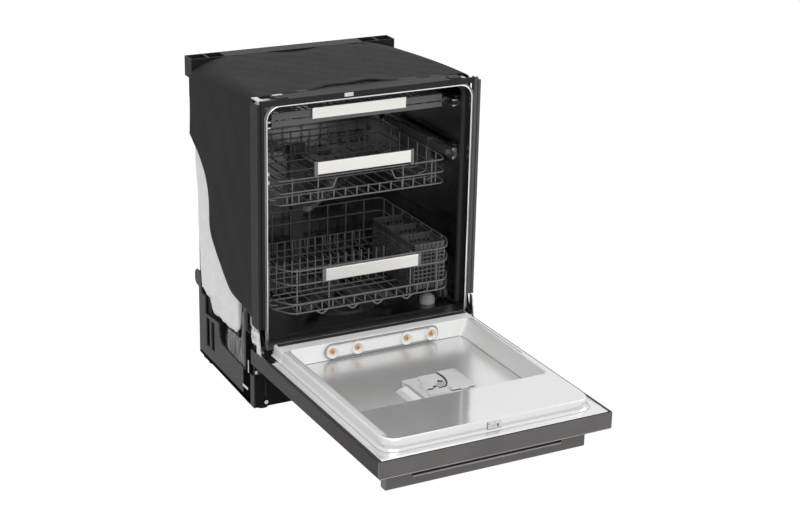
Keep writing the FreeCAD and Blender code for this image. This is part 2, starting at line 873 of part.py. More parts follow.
def wire_basket(half, nose_half, front, chamfer, back, levels, uprights, side_uprights, floor_long,
                floor_cross):
    # Straight wires that butt or touch side on: rings at each level, uprights inside them, a grid below
    r = wire_r
    nose = [(-half, back), (-half, front + chamfer), (-nose_half, front), (nose_half, front),
            (half, front + chamfer), (half, back)]
    wires = []
    top, low = levels[-1], levels[0]
    for x, y in nose:
        wires.append(rod((x, y, low - r), (x, y, top + r), r))
    loop = nose + [nose[0]]
    for (xa, ya), (xb, yb) in zip(loop[:-1], loop[1:]):
        length = math.hypot(xb - xa, yb - ya)
        ux, uy = (xb - xa) * r / length, (yb - ya) * r / length
        for z in levels:
            wires.append(rod((xa + ux, ya + uy, z), (xb - ux, yb - uy, z), r))
    inset = 2 * r
    side_inset = 12 * r
    span = (nose_half - 6 * r) / (uprights + 1)
    for x in [(2 * i - uprights + 1) * span for i in range(uprights)]:
        wires.append(rod((x, front + inset, low + r), (x, front + inset, top + r), r))
        wires.append(rod((x, back - inset, low + r), (x, back - inset, top + r), r))
    for y in spread(front + chamfer + side_inset, back - side_inset, side_uprights):
        wires.append(rod((-half + inset, y, low + r), (-half + inset, y, top + r), r))
        wires.append(rod((half - inset, y, low + r), (half - inset, y, top + r), r))
    span = (nose_half - 3 * r) / floor_long
    for x in [(2 * i - floor_long + 1) * span for i in range(floor_long)]:
        wires.append(rod((x, front - r, low - inset), (x, back + r, low - inset), r))
    for y in floor_cross:
        wires.append(rod((-half + r, y, low), (half - r, y, low), r))
    return wires


def rack_grip(front_face, low, height, half):
    bar = box(-half, half, front_face, front_face + rack_handle_thick, low, low + height)
    edges = [e for e in bar.Edges if abs(e.CenterOfMass.x) < 0.01
             and abs(e.CenterOfMass.y - front_face) < 0.01]
    return bar.makeFillet(rack_handle_thick / 3, edges)


def handle_caps(front_face, low, height, half):
    cap = box(half, half + cap_width, front_face, front_face + cap_thick,
              low - cap_over, low + height + cap_over)
    return [cap, mirrored(cap)]


def wheel_bracket(x, y):
    inner = lower_half - bracket_thick / 2
    top = lower_levels[0] - wire_r
    plate = box(inner, inner + bracket_thick, y - bracket_half, y + bracket_half, wheel_z - bracket_half, top)
    axle = cylinder(axle_r, wheel_x + wheel_width / 2 + axle_end - inner, V(inner, y, wheel_z), x_axis)
    solid = joined([plate, axle])
    return solid if x > 0 else mirrored(solid)


def make_lower_rack():
    wires = wire_basket(lower_half, lower_nose_half, lower_front, lower_chamfer, lower_back, lower_levels,
                        lower_uprights, lower_side_uprights, lower_floor_count, lower_floor_cross)
    face = lower_front - wire_r - cap_thick
    caps = handle_caps(face, lower_handle_low, rack_handle_height, rack_handle_half)
    brackets = [wheel_bracket(x, y) for x in (-1, 1) for y in wheel_places]
    return Part.makeCompound(wires + caps + brackets)


def make_wheels(y):
    x0 = wheel_x - wheel_width / 2
    tyre = cylinder(wheel_r, wheel_width, V(x0, y, wheel_z), x_axis)
    dish = cylinder(wheel_r - wheel_rim, wheel_width, V(x0 + wheel_web, y, wheel_z), x_axis)
    hub = cylinder(axle_hub_r, wheel_width, V(x0, y, wheel_z), x_axis)
    bore = cylinder(axle_r + run_clear, 2 * wheel_width, V(x0 - wheel_web, y, wheel_z), x_axis)
    return pair(joined([tyre.cut(dish), hub]).cut(bore))


def make_tine_row(y):
    z = lower_levels[0] + gap
    bar = rod((tine_left, y, z), (tine_right, y, z), wire_r)
    places = spread(tine_left + tine_inset, tine_right - tine_inset, tine_count)
    tines = [rod((x, y, z + wire_r), (x, y, z + tine_height), tine_r) for x in places]
    return Part.makeCompound([bar] + tines)


def make_cutlery_basket():
    z0 = lower_levels[0] + wire_r + gap
    y1 = basket_front + basket_depth
    shell = rounded_block(basket_left, basket_right, basket_front, y1, z0, basket_top, basket_round)
    cuts = []
    pitch = (basket_depth - basket_wall) / basket_cells
    for i in range(basket_cells):
        y0 = basket_front + basket_wall + i * pitch
        cuts.append(box(basket_left + basket_wall, basket_right - basket_wall, y0, y0 + pitch - basket_wall,
                        z0 + basket_wall, basket_top + 1))
    return shell.cut(cuts)


def make_upper_rack():
    wires = wire_basket(upper_half, upper_nose_half, upper_front, upper_chamfer, upper_back, upper_levels,
                        upper_uprights, upper_side_uprights, upper_floor_count, upper_floor_cross)
    face = upper_front - wire_r - cap_thick
    caps = handle_caps(face, upper_handle_low, rack_handle_height, rack_handle_half)
    arms = []
    for x in (-1, 1):
        x0 = x * (rack_handle_half + cap_width / 2)
        arms.append(rod((x0, upper_front, upper_levels[-1] + wire_r),
                        (x0, upper_front, upper_handle_low + rack_handle_height), wire_r))
    return Part.makeCompound(wires + caps + arms)


def feed_tube_z():
    return upper_floor - wire_r - gap - feed_tube_r


def upper_pin_top():
    return feed_tube_z() - feed_tube_r


def make_upper_feed():
    z = feed_tube_z()
    end = tub_depth - dock_depth - 2 * gap
    tube = cylinder(feed_tube_r, end - hub_y, V(0, hub_y, z), y_axis)
    hub = cylinder(upper_hub_r - 2, 2 * feed_tube_r, V(0, hub_y, z - feed_tube_r))
    top = upper_pin_top()
    pin = cylinder(upper_pin_r, upper_hub_height + upper_pin_flange + 2 * gap,
                            V(0, hub_y, top - upper_hub_height - upper_pin_flange - 2 * gap))
    stop = cylinder(upper_pin_r + 4, upper_pin_flange,
                             V(0, hub_y, top - upper_hub_height - upper_pin_flange - 2 * gap))
    return joined([tube, hub, pin, stop])


def rail_bosses(z0, z1):
    half = rail_boss_half
    return [box(rail_outer, opening_half, y - half, y + half, z0, z1) for y in rail_boss_places]


def make_upper_rails():
    z0, z1 = rail_z, rail_z + rail_height
    body = box(rail_inner, rail_outer, rail_front, rail_end, z0, z1)
    channel = box(rail_inner - 1, rail_outer - rail_back, rail_front - 1, rail_end + 1,
                  z0 + rail_lip, z1 - rail_lip)
    bosses = rail_bosses(z0, z1)
    return pair(joined([body.cut(channel)] + bosses))


def make_upper_slides():
    z0, z1 = rail_z + rail_lip + gap, rail_z + rail_height - rail_lip - gap
    outer = rail_outer - rail_back - gap
    body = box(rail_inner, outer, rail_front, rail_end, z0, z1)
    channel = box(rail_inner - 1, outer - slide_back, rail_front - 1, rail_end + 1,
                  z0 + slide_lip, z1 - slide_lip)
    return pair(body.cut(channel))


def make_rack_lifts():
    z0 = rail_z + rail_lip + slide_lip + 2 * gap
    z1 = rail_z + rail_height - rail_lip - slide_lip - 2 * gap
    outer = rail_outer - rail_back - slide_back - 2 * gap
    inner = upper_half + wire_r + gap
    runner = box(inner + lift_web, outer, runner_front, runner_end, z0, z1)
    hanger = box(inner, rail_inner - gap, lift_front, lift_end, lift_low, rail_z + rail_height)
    window = box(inner + lift_web, rail_inner + 1, lift_front + lift_web, lift_end - lift_web,
                 lift_low + lift_web, z0 - lift_web)
    return pair(joined([runner, hanger.cut(window)]))


def third_rail_inner():
    return third_half + 2 * gap + third_wall * 4


def make_third_rack():
    # Floor bars, four walls and two runners that butt together
    z0, z1 = third_low, third_low + third_wall
    bar = third_window_bar
    front, back = third_front, third_back
    wide = (2 * third_half - bar) / third_windows_x
    deep = (back - front - bar) / third_windows_y
    solids = []
    for j in range(third_windows_y + 1):
        y0 = front + j * deep
        solids.append(box(-third_half, third_half, y0, y0 + bar, z0, z1))
    for i in range(third_windows_x + 1):
        x0 = -third_half + i * wide
        for j in range(third_windows_y):
            y0 = front + bar + j * deep
            solids.append(box(x0, x0 + bar, y0, y0 + deep - bar, z0, z1))
    top = z0 + third_wall_height
    inner = third_half - third_wall
    solids.append(box(-third_half, third_half, front, front + third_wall, z1, top))
    solids.append(box(-third_half, third_half, back - third_wall, back, z1, top))
    low = third_rail_z + third_rail_lip + gap
    high = third_rail_z + third_rail_height - third_rail_lip - gap
    side = box(inner, third_half, front + third_wall, back - third_wall, z1, top)
    runner = box(third_half, rail_outer - rail_back - gap, front + bar, back, low, high)
    return Part.makeCompound(solids + [side, mirrored(side), runner, mirrored(runner)])


def make_third_rails():
    z0, z1 = third_rail_z, third_rail_z + third_rail_height
    inner = third_rail_inner()
    body = box(inner, rail_outer, rail_front, rail_end, z0, z1)
    channel = box(inner - 1, rail_outer - rail_back, rail_front - 1, rail_end + 1, z0 + third_rail_lip,
                  z1 - third_rail_lip)
    bosses = rail_bosses(z0, z1)
    return pair(joined([body.cut(channel)] + bosses))


# Door

def make_outer_panel():
    near = -door_reach + strip_thick
    face = box(-door_half, door_half, near, door_heel, outer_z, outer_z + door_skin)
    side = box(door_half - door_skin, door_half, near, door_heel, outer_z, flange_z)
    return joined([face, side, mirrored(side)])


def make_control_strip():
    near = -door_reach
    strip = box(-door_half, door_half, near, near + strip_thick, outer_z, flange_z)
    hollow = box(-door_half + strip_thick, door_half - strip_thick, near + door_skin, near + strip_thick + 1,
                 outer_z + strip_thick, flange_z - strip_thick)
    return strip.cut(hollow)


def make_control_board():
    near = -door_reach + door_skin
    return box(-board_half, board_half, near, near + board_depth, outer_z + strip_thick + board_inset,
               flange_z - strip_thick - board_inset)


def make_liner():
    t = liner_skin
    near = -door_reach + strip_thick
    flange = box(-flange_half, flange_half, near, flange_heel, flange_z - t, flange_z)
    notch = box(flange_half - hinge_notch_width, flange_half + 1, -hinge_notch_front, flange_heel + 1,
                flange_z - 2 * t, flange_z + 1)
    flange = flange.cut([notch, mirrored(notch)])
    dam = rounded_block(-dam_half, dam_half, -dam_reach, -ridge_start, flange_z - t, platform_z, dam_corner)
    rim = [e for e in dam.Edges if abs(e.CenterOfMass.z - platform_z) < 0.01]
    dam = dam.makeFillet(dam_edge, rim)
    hollow = rounded_block(-dam_half + t, dam_half - t, -dam_reach + t, -ridge_start - t, flange_z - 2 * t,
                           platform_z - t, dam_corner - t)
    rim = [e for e in hollow.Edges if abs(e.CenterOfMass.z - platform_z + t) < 0.01]
    hollow = hollow.makeFillet(dam_edge - t, rim)
    top = platform_z + 1
    slope = recess_draft / recess_depth

    def pocket(grow, floor, high):
        lean_low = slope * (platform_z - floor)
        lean_high = slope * (platform_z - high)
        wires = []
        for z, lean in ((floor, lean_low), (high, lean_high)):
            wide = recess_half + grow - lean
            wires.append(rounded_outline(-wide, wide, -recess_near - grow + lean, -recess_far + grow, z,
                                         recess_corner + grow))
        return Part.makeLoft(wires, True, True)

    pan = pocket(t, recess_floor - t, platform_z)
    well = pocket(0, recess_floor, top)
    cup = box(cup_left + cup_wall - gap, cup_right - cup_wall + gap, -cup_near + cup_wall - gap,
              -cup_far - cup_wall + gap, recess_floor - 2 * t, recess_floor + 1)
    slot = box(-bolt_half - 2, bolt_half + 2, -dam_reach - 1, -dam_reach + 2 * t, pivot_z + bolt_front - 2,
               pivot_z + bolt_front + bolt_depth + 2)
    shell = joined([flange, dam]).cut(hollow)
    return joined([shell, pan]).cut([well, cup, slot])


def make_handle():
    y1 = -door_reach + handle_setback + handle_bar
    y0 = y1 - handle_bar
    low = outer_z - handle_gap - handle_bar
    bar = box(-handle_half, handle_half, y0, y1, low, outer_z)
    finger_half = handle_half - handle_end
    finger = box(-finger_half, finger_half, y0 - 1, y1 + 1, low + handle_bar, outer_z + 1)
    body = bar.cut(finger)
    edges = [e for e in body.Edges if abs(e.CenterOfMass.x) < 0.01 and e.CenterOfMass.z < low + 1]
    return body.makeFillet(handle_round, edges)


def make_dispenser():
    z0, z1 = recess_floor, recess_floor + cup_proud
    top = rounded_block(cup_left, cup_right, -cup_near, -cup_far, z0, z1, cup_wall * 2)
    well = box(cup_left + cup_wall, cup_right - cup_wall, -cup_near + cup_wall, -cup_far - cup_wall,
               recess_floor - cup_sunk, z0 + 1)
    tray = plate_y([(cup_left - tray_width, z0), (cup_left + 1, z0), (cup_left + 1, z1),
                    (cup_left - tray_width + cup_wall, z0 + cup_wall)], -cup_near, -cup_far - tray_width)
    cell = box(cup_split + cup_wall, cup_right - 2 * cup_wall, -cup_near + 2 * cup_wall,
               -cup_far - 2 * cup_wall, recess_floor - cup_sunk + cup_wall, z1 + 1)
    return joined([top, well, tray]).cut(cell)


def make_detergent_lid():
    z0 = recess_floor + cup_proud + gap
    lid = box(cup_split, cup_right - cup_wall, -cup_near + cup_wall, -cup_far - cup_wall, z0, z0 + lid_thick)
    rise = [e for e in lid.Edges if abs(e.CenterOfMass.x - cup_split) < 0.01
            and abs(e.CenterOfMass.z - z0 - lid_thick) < 0.01]
    return lid.makeFillet(lid_thick / 2, rise)


def make_rinse_cap():
    z0 = recess_floor + cup_proud + gap
    x = (cup_left + cup_split) / 2
    y = -(cup_far + cup_near) / 2
    cap = cylinder(rinse_r, rinse_height, V(x, y, z0))
    grooves = [box(x - rinse_r * 0.6, x + rinse_r * 0.6, y + s * rinse_r * 0.5 - 2, y + s * rinse_r * 0.5 + 2,
                   z0 + rinse_height / 2, z0 + rinse_height + 1) for s in (-1, 1)]
    return cap.cut(grooves)


def make_steam_plate():
    z = platform_z - steam_height
    x0, x1 = nozzle_places[0], nozzle_places[-1]
    face = -recess_far
    ends = [cylinder(steam_plate_half, steam_plate_thick, V(x, face - steam_plate_thick, z), y_axis)
            for x in (x0, x1)]
    middle = box(x0, x1, face - steam_plate_thick, face, z - steam_plate_half, z + steam_plate_half)
    return joined(ends + [middle])


def make_steam_nozzles():
    z = platform_z - steam_height
    face = -recess_far - steam_plate_thick
    nozzles = []
    for x in nozzle_places:
        body = Part.makeCone(nozzle_r, nozzle_r - 3, nozzle_proud, V(x, face, z), V(0, -1, 0))
        dish = Part.makeCone(nozzle_bore_r - 2, nozzle_bore_r, nozzle_dish,
                             V(x, face - nozzle_proud + nozzle_dish, z), V(0, -1, 0))
        nozzles.append(body.cut(dish))
    return Part.makeCompound(nozzles)


def make_latch_body():
    z1 = tub_ceiling
    z0 = z1 - latch_height
    body = box(-latch_half, latch_half, latch_front, latch_front + latch_depth, z0, z1)
    half = bolt_half + gap
    slot = box(-half, half, bolt_front - gap, bolt_front + bolt_depth + gap, z0 - 1, z1 + 1)
    return body.cut(slot)


def make_latch_bolt():
    return box(-bolt_half, bolt_half, bolt_front, bolt_front + bolt_depth,
               tub_ceiling - latch_height, tub_ceiling - gap)


def make_latch_keeper():
    y1 = -dam_reach
    z0 = pivot_z + bolt_front - bolt_half
    z1 = platform_z - dam_edge
    plate = box(-keeper_x, keeper_x, y1 - keeper_thick, y1, z0, z1)
    slot = box(-bolt_half - 2, bolt_half + 2, y1 - 2 * keeper_thick, y1 + 1, pivot_z + bolt_front - 2,
               pivot_z + bolt_front + bolt_depth + 2)
    return plate.cut(slot)


# Hinges

def make_hinge_brackets():
    x0 = body_half - bracket_inset - bracket_plate
    x1 = x0 + bracket_plate
    z0 = pivot_z - bracket_low
    plate = plate_x([(-bracket_front, z0), (bracket_front, z0), (bracket_back, pivot_z),
                     (bracket_back, z0 + bracket_height), (bracket_front * 2, z0 + bracket_height),
                     (-bracket_front, pivot_z + bracket_front)], x0, x1)
    foot = box(tub_half, x0 + 1, bracket_back - bracket_front, bracket_back,
               tub_floor + tub_foot_corner + tub_wall, z0 + bracket_height)
    hole = cylinder(pin_r, 4 * bracket_plate, V(x0 - bracket_plate, 0, pivot_z), x_axis)
    return pair(joined([plate, foot]).cut(hole))


def arm_outer():
    return door_half - door_skin


def make_hinge_pins():
    x0 = body_half - bracket_inset - bracket_plate
    return pair(cylinder(pin_r, arm_outer() - gap - x0, V(x0, 0, pivot_z), x_axis))


def make_hinge_arms():
    x1 = arm_outer()
    x0 = x1 - arm_plate
    low = outer_z + door_skin + gap
    high = flange_z - liner_skin - gap
    eye = cylinder(arm_round, arm_plate, V(x0, 0, pivot_z), x_axis)
    leg = plate_x([(-arm_forward, low), (-arm_forward, high), (-hinge_notch_front, high),
                   (-arm_round, pivot_z), (arm_round, pivot_z), (arm_round, low)], x0, x1)
    tip_y, tip_z = arm_tail_lean, pivot_z + arm_tail
    tail = plate_x([(-arm_round, pivot_z), (arm_round, pivot_z), (tip_y + arm_round / 2, tip_z),
                    (tip_y - arm_round / 2, tip_z)], x0, x1)
    hole = cylinder(pin_r + run_clear, 4 * arm_plate, V(x0 - arm_plate, 0, pivot_z), x_axis)
    return pair(joined([eye, leg, tail]).cut(hole))


def arc_between(start, heading, end, reach):
    # The arc that leaves start along heading and ends at end, where reach is the length of its tangent legs
    knee = start + heading * reach
    middle = (start + end) * 0.5
    half = (end - start).Length / 2
    rise = math.sqrt(max(reach * reach - half * half, 0))
    crown = middle + (knee - middle).normalize() * (half * (reach - half) / rise)
    return Part.Arc(start, crown, end).toShape()


def biarc(start, heading, end, leaving):
    across = end - start
    both = heading + leaving
    twist = 2 * (1 - heading.dot(leaving))
    lean = across.dot(both)
    reach = (-lean + math.sqrt(lean * lean + twist * across.dot(across))) / twist
    meet = (start + end + (heading - leaving) * reach) * 0.5
    onward = (end - leaving * reach - meet).normalize()
    return [arc_between(start, heading, meet, reach), arc_between(meet, onward, end, reach)]


def make_hinge_springs():
    # A close helix round each hinge pin, in quarter turns, with a short straight leg at each end
    r = spring_mean_r
    x0 = body_half - bracket_inset + spring_wire_r + gap
    steps = 4 * spring_turns
    slope = spring_pitch / (2 * math.pi * r)
    scale = 1 / math.sqrt(1 + slope * slope)

    def point(i):
        a = math.pi / 2 * i
        return V(x0 + spring_pitch * i / 4, r * math.cos(a), pivot_z + r * math.sin(a))

    def heading(i):
        a = math.pi / 2 * i
        return V(slope, -math.sin(a), math.cos(a)) * scale

    leg = 2 * spring_wire_r
    edges = [Part.LineSegment(point(0) - heading(0) * leg, point(0)).toShape()]
    for i in range(steps):
        edges += biarc(point(i), heading(i), point(i + 1), heading(i + 1))
    edges.append(Part.LineSegment(point(steps), point(steps) + heading(steps) * leg).toShape())
    path = Part.Wire(edges)
    ring = Part.Wire(Part.makeCircle(spring_wire_r, point(0) - heading(0) * leg, heading(0)))
    print("hinge spring least gap", round(spring_pitch - 2 * spring_wire_r, 3))
    return pair(path.makePipeShell([ring], True, False))


nodes = {
    "tub": make_tub(),
    "right_column": make_column(),
    "left_column": mirrored(make_column()),
    "top_trim": make_top_trim(),
    "door_seal": make_seal(),
    "counter_brackets": make_counter_brackets(),
    "rear_beam": make_rear_beam(),
    "insulation_mat": make_mat(),
    "insulation_felt": make_felt(),
    "fibre_pads": make_fibre_pads(),
    "base_pan": make_base(),
    "front_left_foot": make_foot(-foot_x, front_foot_y),
    "front_right_foot": make_foot(foot_x, front_foot_y),
    "rear_feet": Part.makeCompound([make_foot(-foot_x, rear_foot_y), make_foot(foot_x, rear_foot_y)]),
    "toe_kick": make_toe_kick(),
    "toe_kick_screws": make_toe_screws(),
    "sump": make_sump(),
    "filter_plate": make_filter_plate(),
    "filter_cup": make_filter_cup(),
    "wash_pump": make_wash_pump(),
    "drain_pump": make_drain_pump(),
    "inlet_valve": make_inlet_valve(),
    "junction_box": make_junction_box(),
    "float_cap": make_float_cap(),
    "feed_pipe": make_feed_pipe(),
    "lower_spray_arm": spray_arm(hub_y, lower_hub_r, arm_pin_r, hub_high + arm_thick / 2, lower_arm_r, 4,
                                 hub_high + gap, arm_pin_high + 1),
    "upper_feed_tube": make_upper_feed(),
    "upper_spray_arm": spray_arm(hub_y, upper_hub_r, upper_pin_r, upper_pin_top() - gap - upper_hub_height,
                                 upper_arm_r, 2, upper_pin_top() - gap - upper_hub_height,
                                 upper_pin_top() - gap),
    "upper_rails": make_upper_rails(),
    "upper_slides": make_upper_slides(),
    "rack_lifts": make_rack_lifts(),
    "upper_rack": make_upper_rack(),
    "upper_rack_handle": rack_grip(upper_front - wire_r - rack_handle_thick, upper_handle_low,
                                   rack_handle_height, rack_handle_half),
    "third_rails": make_third_rails(),
    "third_rack": make_third_rack(),
    "third_rack_handle": rack_grip(third_front - rack_handle_thick, third_handle_low, third_handle_height,
                                    rack_handle_half),
    "lower_rack": make_lower_rack(),
    "lower_rack_handle": rack_grip(lower_front - wire_r - rack_handle_thick, lower_handle_low,
                                   rack_handle_height, rack_handle_half),
    "front_wheels": make_wheels(wheel_places[0]),
    "rear_wheels": make_wheels(wheel_places[1]),
    "cutlery_basket": make_cutlery_basket(),
    "door_panel": make_outer_panel(),
    "control_strip": make_control_strip(),
    "control_board": make_control_board(),
    "door_liner": make_liner(),
    "door_handle": make_handle(),
    "dispenser": make_dispenser(),
    "detergent_lid": make_detergent_lid(),
    "rinse_cap": make_rinse_cap(),
    "steam_plate": make_steam_plate(),
    "steam_nozzles": make_steam_nozzles(),
    "latch_body": make_latch_body(),
    "latch_bolt": make_latch_bolt(),
    "latch_keeper": make_latch_keeper(),
    "hinge_brackets": make_hinge_brackets(),
    "hinge_pins": make_hinge_pins(),
    "hinge_arms": make_hinge_arms(),
    "hinge_springs": make_hinge_springs(),
}
for name, y in tine_rows.items():
    nodes[name] = make_tine_row(y)

os.makedirs("parts", exist_ok=True)
for name, shape in nodes.items():
    shape.translate(V(0, front_y, 0))
    shape.exportStep("parts/" + name + ".step")
print(len(nodes), "nodes, front plane at y", round(front_y, 3))
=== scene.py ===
import bpy
import math
import numpy as np
from mathutils import Matrix


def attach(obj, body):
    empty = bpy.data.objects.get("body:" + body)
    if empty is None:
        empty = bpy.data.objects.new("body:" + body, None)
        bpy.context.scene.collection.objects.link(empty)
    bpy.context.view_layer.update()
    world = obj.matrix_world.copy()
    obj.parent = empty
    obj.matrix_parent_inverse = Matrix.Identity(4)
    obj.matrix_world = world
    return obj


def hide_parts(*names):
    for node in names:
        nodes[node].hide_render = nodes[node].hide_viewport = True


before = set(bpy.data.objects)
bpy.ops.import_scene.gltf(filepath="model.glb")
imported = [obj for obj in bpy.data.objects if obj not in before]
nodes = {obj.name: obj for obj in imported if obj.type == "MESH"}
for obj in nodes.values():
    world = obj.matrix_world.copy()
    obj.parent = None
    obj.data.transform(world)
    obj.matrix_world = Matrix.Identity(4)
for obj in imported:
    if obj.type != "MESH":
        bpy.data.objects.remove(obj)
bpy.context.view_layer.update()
frontPlane = 82.0  # the pieces are drawn in millimetres from the tub's front plane
print("frame loaded,", len(nodes), "nodes")


# shapes: a shape is its points and its lists of faces

def place(points):
    # millimetres from the tub's front plane become metres in the frame
    return (np.asarray(points, float) + (0, frontPlane, 0)) / 1000


def gridFaces(rows, cols, aroundRows=False, aroundCols=False):
    # one quad for every cell, the last row or column joined to the first where the grid closes
    r = np.arange(rows if aroundRows else rows - 1)[:, None]
    c = np.arange(cols if aroundCols else cols - 1)[None, :]
    nextR, nextC = (r + 1) % rows, (c + 1) % cols
    cells = np.stack([r * cols + c, r * cols + nextC, nextR * cols + nextC, nextR * cols + c], -1)
    return cells.reshape(-1, 4)


def cappedFaces(rows, cols):
    # a grid closed around its columns, with one face over its first row and one over its last
    ends = np.arange(cols)[None, :]
    return [gridFaces(rows, cols, False, True), ends[:, ::-1], (rows - 1) * cols + ends]


def joinShapes(shapes):
    # the points one after the other, each shape's faces moved on by the points before it
    starts = np.cumsum([0] + [len(points) for points, faces in shapes])
    faces = [f + s for s, (points, lists) in zip(starts, shapes) for f in lists]
    return np.vstack([points for points, lists in shapes]), faces


def unit(vectors):
    # each vector over its own length
    return vectors / np.maximum(np.linalg.norm(vectors, axis=-1, keepdims=True), 1e-9)


def bentPath(corners, radius, steps=6, closed=False):
    # at each corner the run in, the corner and the run out are blended by (1-t)^2, 2t(1-t) and t^2
    corners = np.asarray(corners, float)
    ring = np.vstack([corners[-1:], corners, corners[:1]]) if closed else corners
    before, after = ring[:-2] - ring[1:-1], ring[2:] - ring[1:-1]
    reach = np.minimum(np.linalg.norm(before, axis=1), np.linalg.norm(after, axis=1))[:, None] * 0.48
    reach = np.minimum(reach, np.reshape(np.broadcast_to(radius, len(before)), (-1, 1)))
    runIn, runOut = ring[1:-1] + unit(before) * reach, ring[1:-1] + unit(after) * reach
    t = np.linspace(0, 1, steps)[None, :, None]
    bends = (1 - t) ** 2 * runIn[:, None] + 2 * t * (1 - t) * ring[1:-1][:, None] + t ** 2 * runOut[:, None]
    bends = bends.reshape(-1, 3)
    return bends if closed else np.vstack([corners[:1], bends, corners[-1:]])


def tube(path, radius, across, sides=8, closed=False):
    # a circle carried along the path, lying on the across direction and on its cross with the run;
    # open ends close in a dome of two rings and a pole
    path = np.asarray(path, float)
    if closed:
        runs = unit(np.roll(path, -1, 0) - np.roll(path, 1, 0))
    else:
        runs = unit(np.gradient(path, axis=0))
    size = np.full(len(path), float(radius))
    if not closed:
        lift = np.sin(np.radians([80, 45]))[:, None] * radius
        ends = np.cos(np.radians([80, 45])) * radius
        path = np.vstack([path[:1] - runs[:1] * lift, path, path[-1:] + runs[-1:] * lift[::-1]])
        runs = np.vstack([runs[:1], runs[:1], runs, runs[-1:], runs[-1:]])
        size = np.concatenate([ends, size, ends[::-1]])
    sideways = unit(np.cross(np.broadcast_to(across, runs.shape), runs))
    upward = np.cross(runs, sideways)
    angle = np.arange(sides) * 2 * math.pi / sides
    rings = np.cos(angle)[None, :, None] * sideways[:, None] + np.sin(angle)[None, :, None] * upward[:, None]
    points = (path[:, None] + rings * size[:, None, None]).reshape(-1, 3)
    faces = [gridFaces(len(path), sides, True, True)] if closed else cappedFaces(len(path), sides)
    return points, faces


def slab(outline, low, high, axis=2, edge=0.8):
    # an outline carried along one axis, drawn in towards its middle by the edge at both ends
    outline = np.asarray(outline, float)
    count = len(outline)
    runs = np.roll(outline, -1, 0) - np.roll(outline, 1, 0)
    inward = unit(np.stack([-runs[:, 1], runs[:, 0]], -1))
    drawn = outline + inward * edge
    level = np.array([low, low + edge, high - edge, high])
    flat = np.stack([drawn, outline, outline, drawn])
    points = np.insert(flat.reshape(-1, 2), axis, np.repeat(level, count), axis=1)
    faces = cappedFaces(4, count)
    if axis == 1:
        faces = [f[:, ::-1] for f in faces]
    return points, faces


def roundedRect(x0, x1, y0, y1, radius, steps=4):
    # four quarter circles, one about each corner's centre
    turn = np.linspace(0, math.pi / 2, steps)
    quarter = np.arange(4)[:, None] * math.pi / 2 + turn[None, :] + math.pi
    cx = np.array([x0 + radius, x1 - radius, x1 - radius, x0 + radius])[:, None]
    cy = np.array([y0 + radius, y0 + radius, y1 - radius, y1 - radius])[:, None]
    return np.stack([cx + radius * np.cos(quarter), cy + radius * np.sin(quarter)], -1).reshape(-1, 2)


def bar(x0, x1, y0, y1, z0, z1, radius=1.0, axis=2, edge=0.6):
    # a box, x, y and z each from and to: a rounded rectangle carried along one axis
    low, high = np.array([x0, y0, z0], float), np.array([x1, y1, z1], float)
    a, b = [i for i in range(3) if i != axis]
    return slab(roundedRect(low[a], high[a], low[b], high[b], radius, 3), low[axis], high[axis], axis, edge)


def turned(profile, centre, axis, sides=32):
    # a profile of (radius, height) turned about an axis, its ends closed by a ring of faces
    profile = np.asarray(profile, float)
    angle = np.arange(sides) * 2 * math.pi / sides
    a, b = [(1, 2), (2, 0), (0, 1)][axis]
    points = np.zeros((len(profile), sides, 3))
    points[..., a] = profile[:, :1] * np.cos(angle)
    points[..., b] = profile[:, :1] * np.sin(angle)
    points[..., axis] = profile[:, 1:]
    return points.reshape(-1, 3) + np.asarray(centre, float), cappedFaces(len(profile), sides)


def mirrored(shapes):
    # each shape and its image across the middle plane, whose faces turn the other way
    return [(points * (side, 1, 1), [face[:, ::side] for face in faces])
            for points, faces in shapes for side in (1, -1)]


def openSheet(points):
    # one grid of points with its faces turned outwards
    return points.reshape(-1, 3), [gridFaces(*points.shape[:2])[:, ::-1]]


def closedSheet(outer, inner):
    # two grids of the same rows and columns, joined round the rim
    rows, cols = outer.shape[:2]
    total = rows * cols
    grid = np.arange(total).reshape(rows, cols)
    rim = np.concatenate([grid[0], grid[1:, -1], grid[-1, -2::-1], grid[-2:0:-1, 0]])
    nextRim = np.roll(rim, -1)
    joined = np.stack([rim, rim + total, nextRim + total, nextRim], -1)
    faces = [gridFaces(rows, cols)[:, ::-1], gridFaces(rows, cols) + total, joined[:, ::-1]]
    return np.vstack([outer.reshape(-1, 3), inner.reshape(-1, 3)]), faces


def levelPath(corners, z, radius, steps=6, closed=False):
    # a bent path whose corners lie at one height
    return bentPath([(x, y, z) for x, y in corners], radius, steps, closed)


def planOutline(corners, rounds):
    # the corner list bent round in plan, turning against the clock
    return levelPath(corners, 0, rounds, closed=True)[:, :2]


def makePiece(name, shape, finish, body, slot, instead=False, smooth=40):
    # one shape or a list of them becomes one object; instead lets it stand in for the node it is slotted by
    points, faces = joinShapes(shape) if isinstance(shape, list) else shape
    mesh = bpy.data.meshes.new(name)
    mesh.from_pydata(place(points).tolist(), [], [face for group in faces for face in group.tolist()])
    mesh.materials.append(finish)
    piece = bpy.data.objects.new(name, mesh)
    bpy.context.scene.collection.objects.link(piece)
    mesh.shade_smooth()
    if smooth:
        mesh.set_sharp_from_angle(angle=math.radians(smooth))
    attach(piece, body)
    if instead:
        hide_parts(slot)
    return piece


def ripple(a, b, waves):
    # fixed sine waves over a and b added up: (height, cycles along a, cycles along b, phase)
    return sum(h * np.sin(2 * math.pi * (ka * a + kb * b) + p) for h, ka, kb, p in waves)


# finishes: every pattern reads Object coordinates, in metres

def plug(socket, value):
    # a socket takes a plain value or the output of another node
    if isinstance(value, bpy.types.NodeSocket):
        socket.id_data.links.new(value, socket)
    else:
        socket.default_value = value


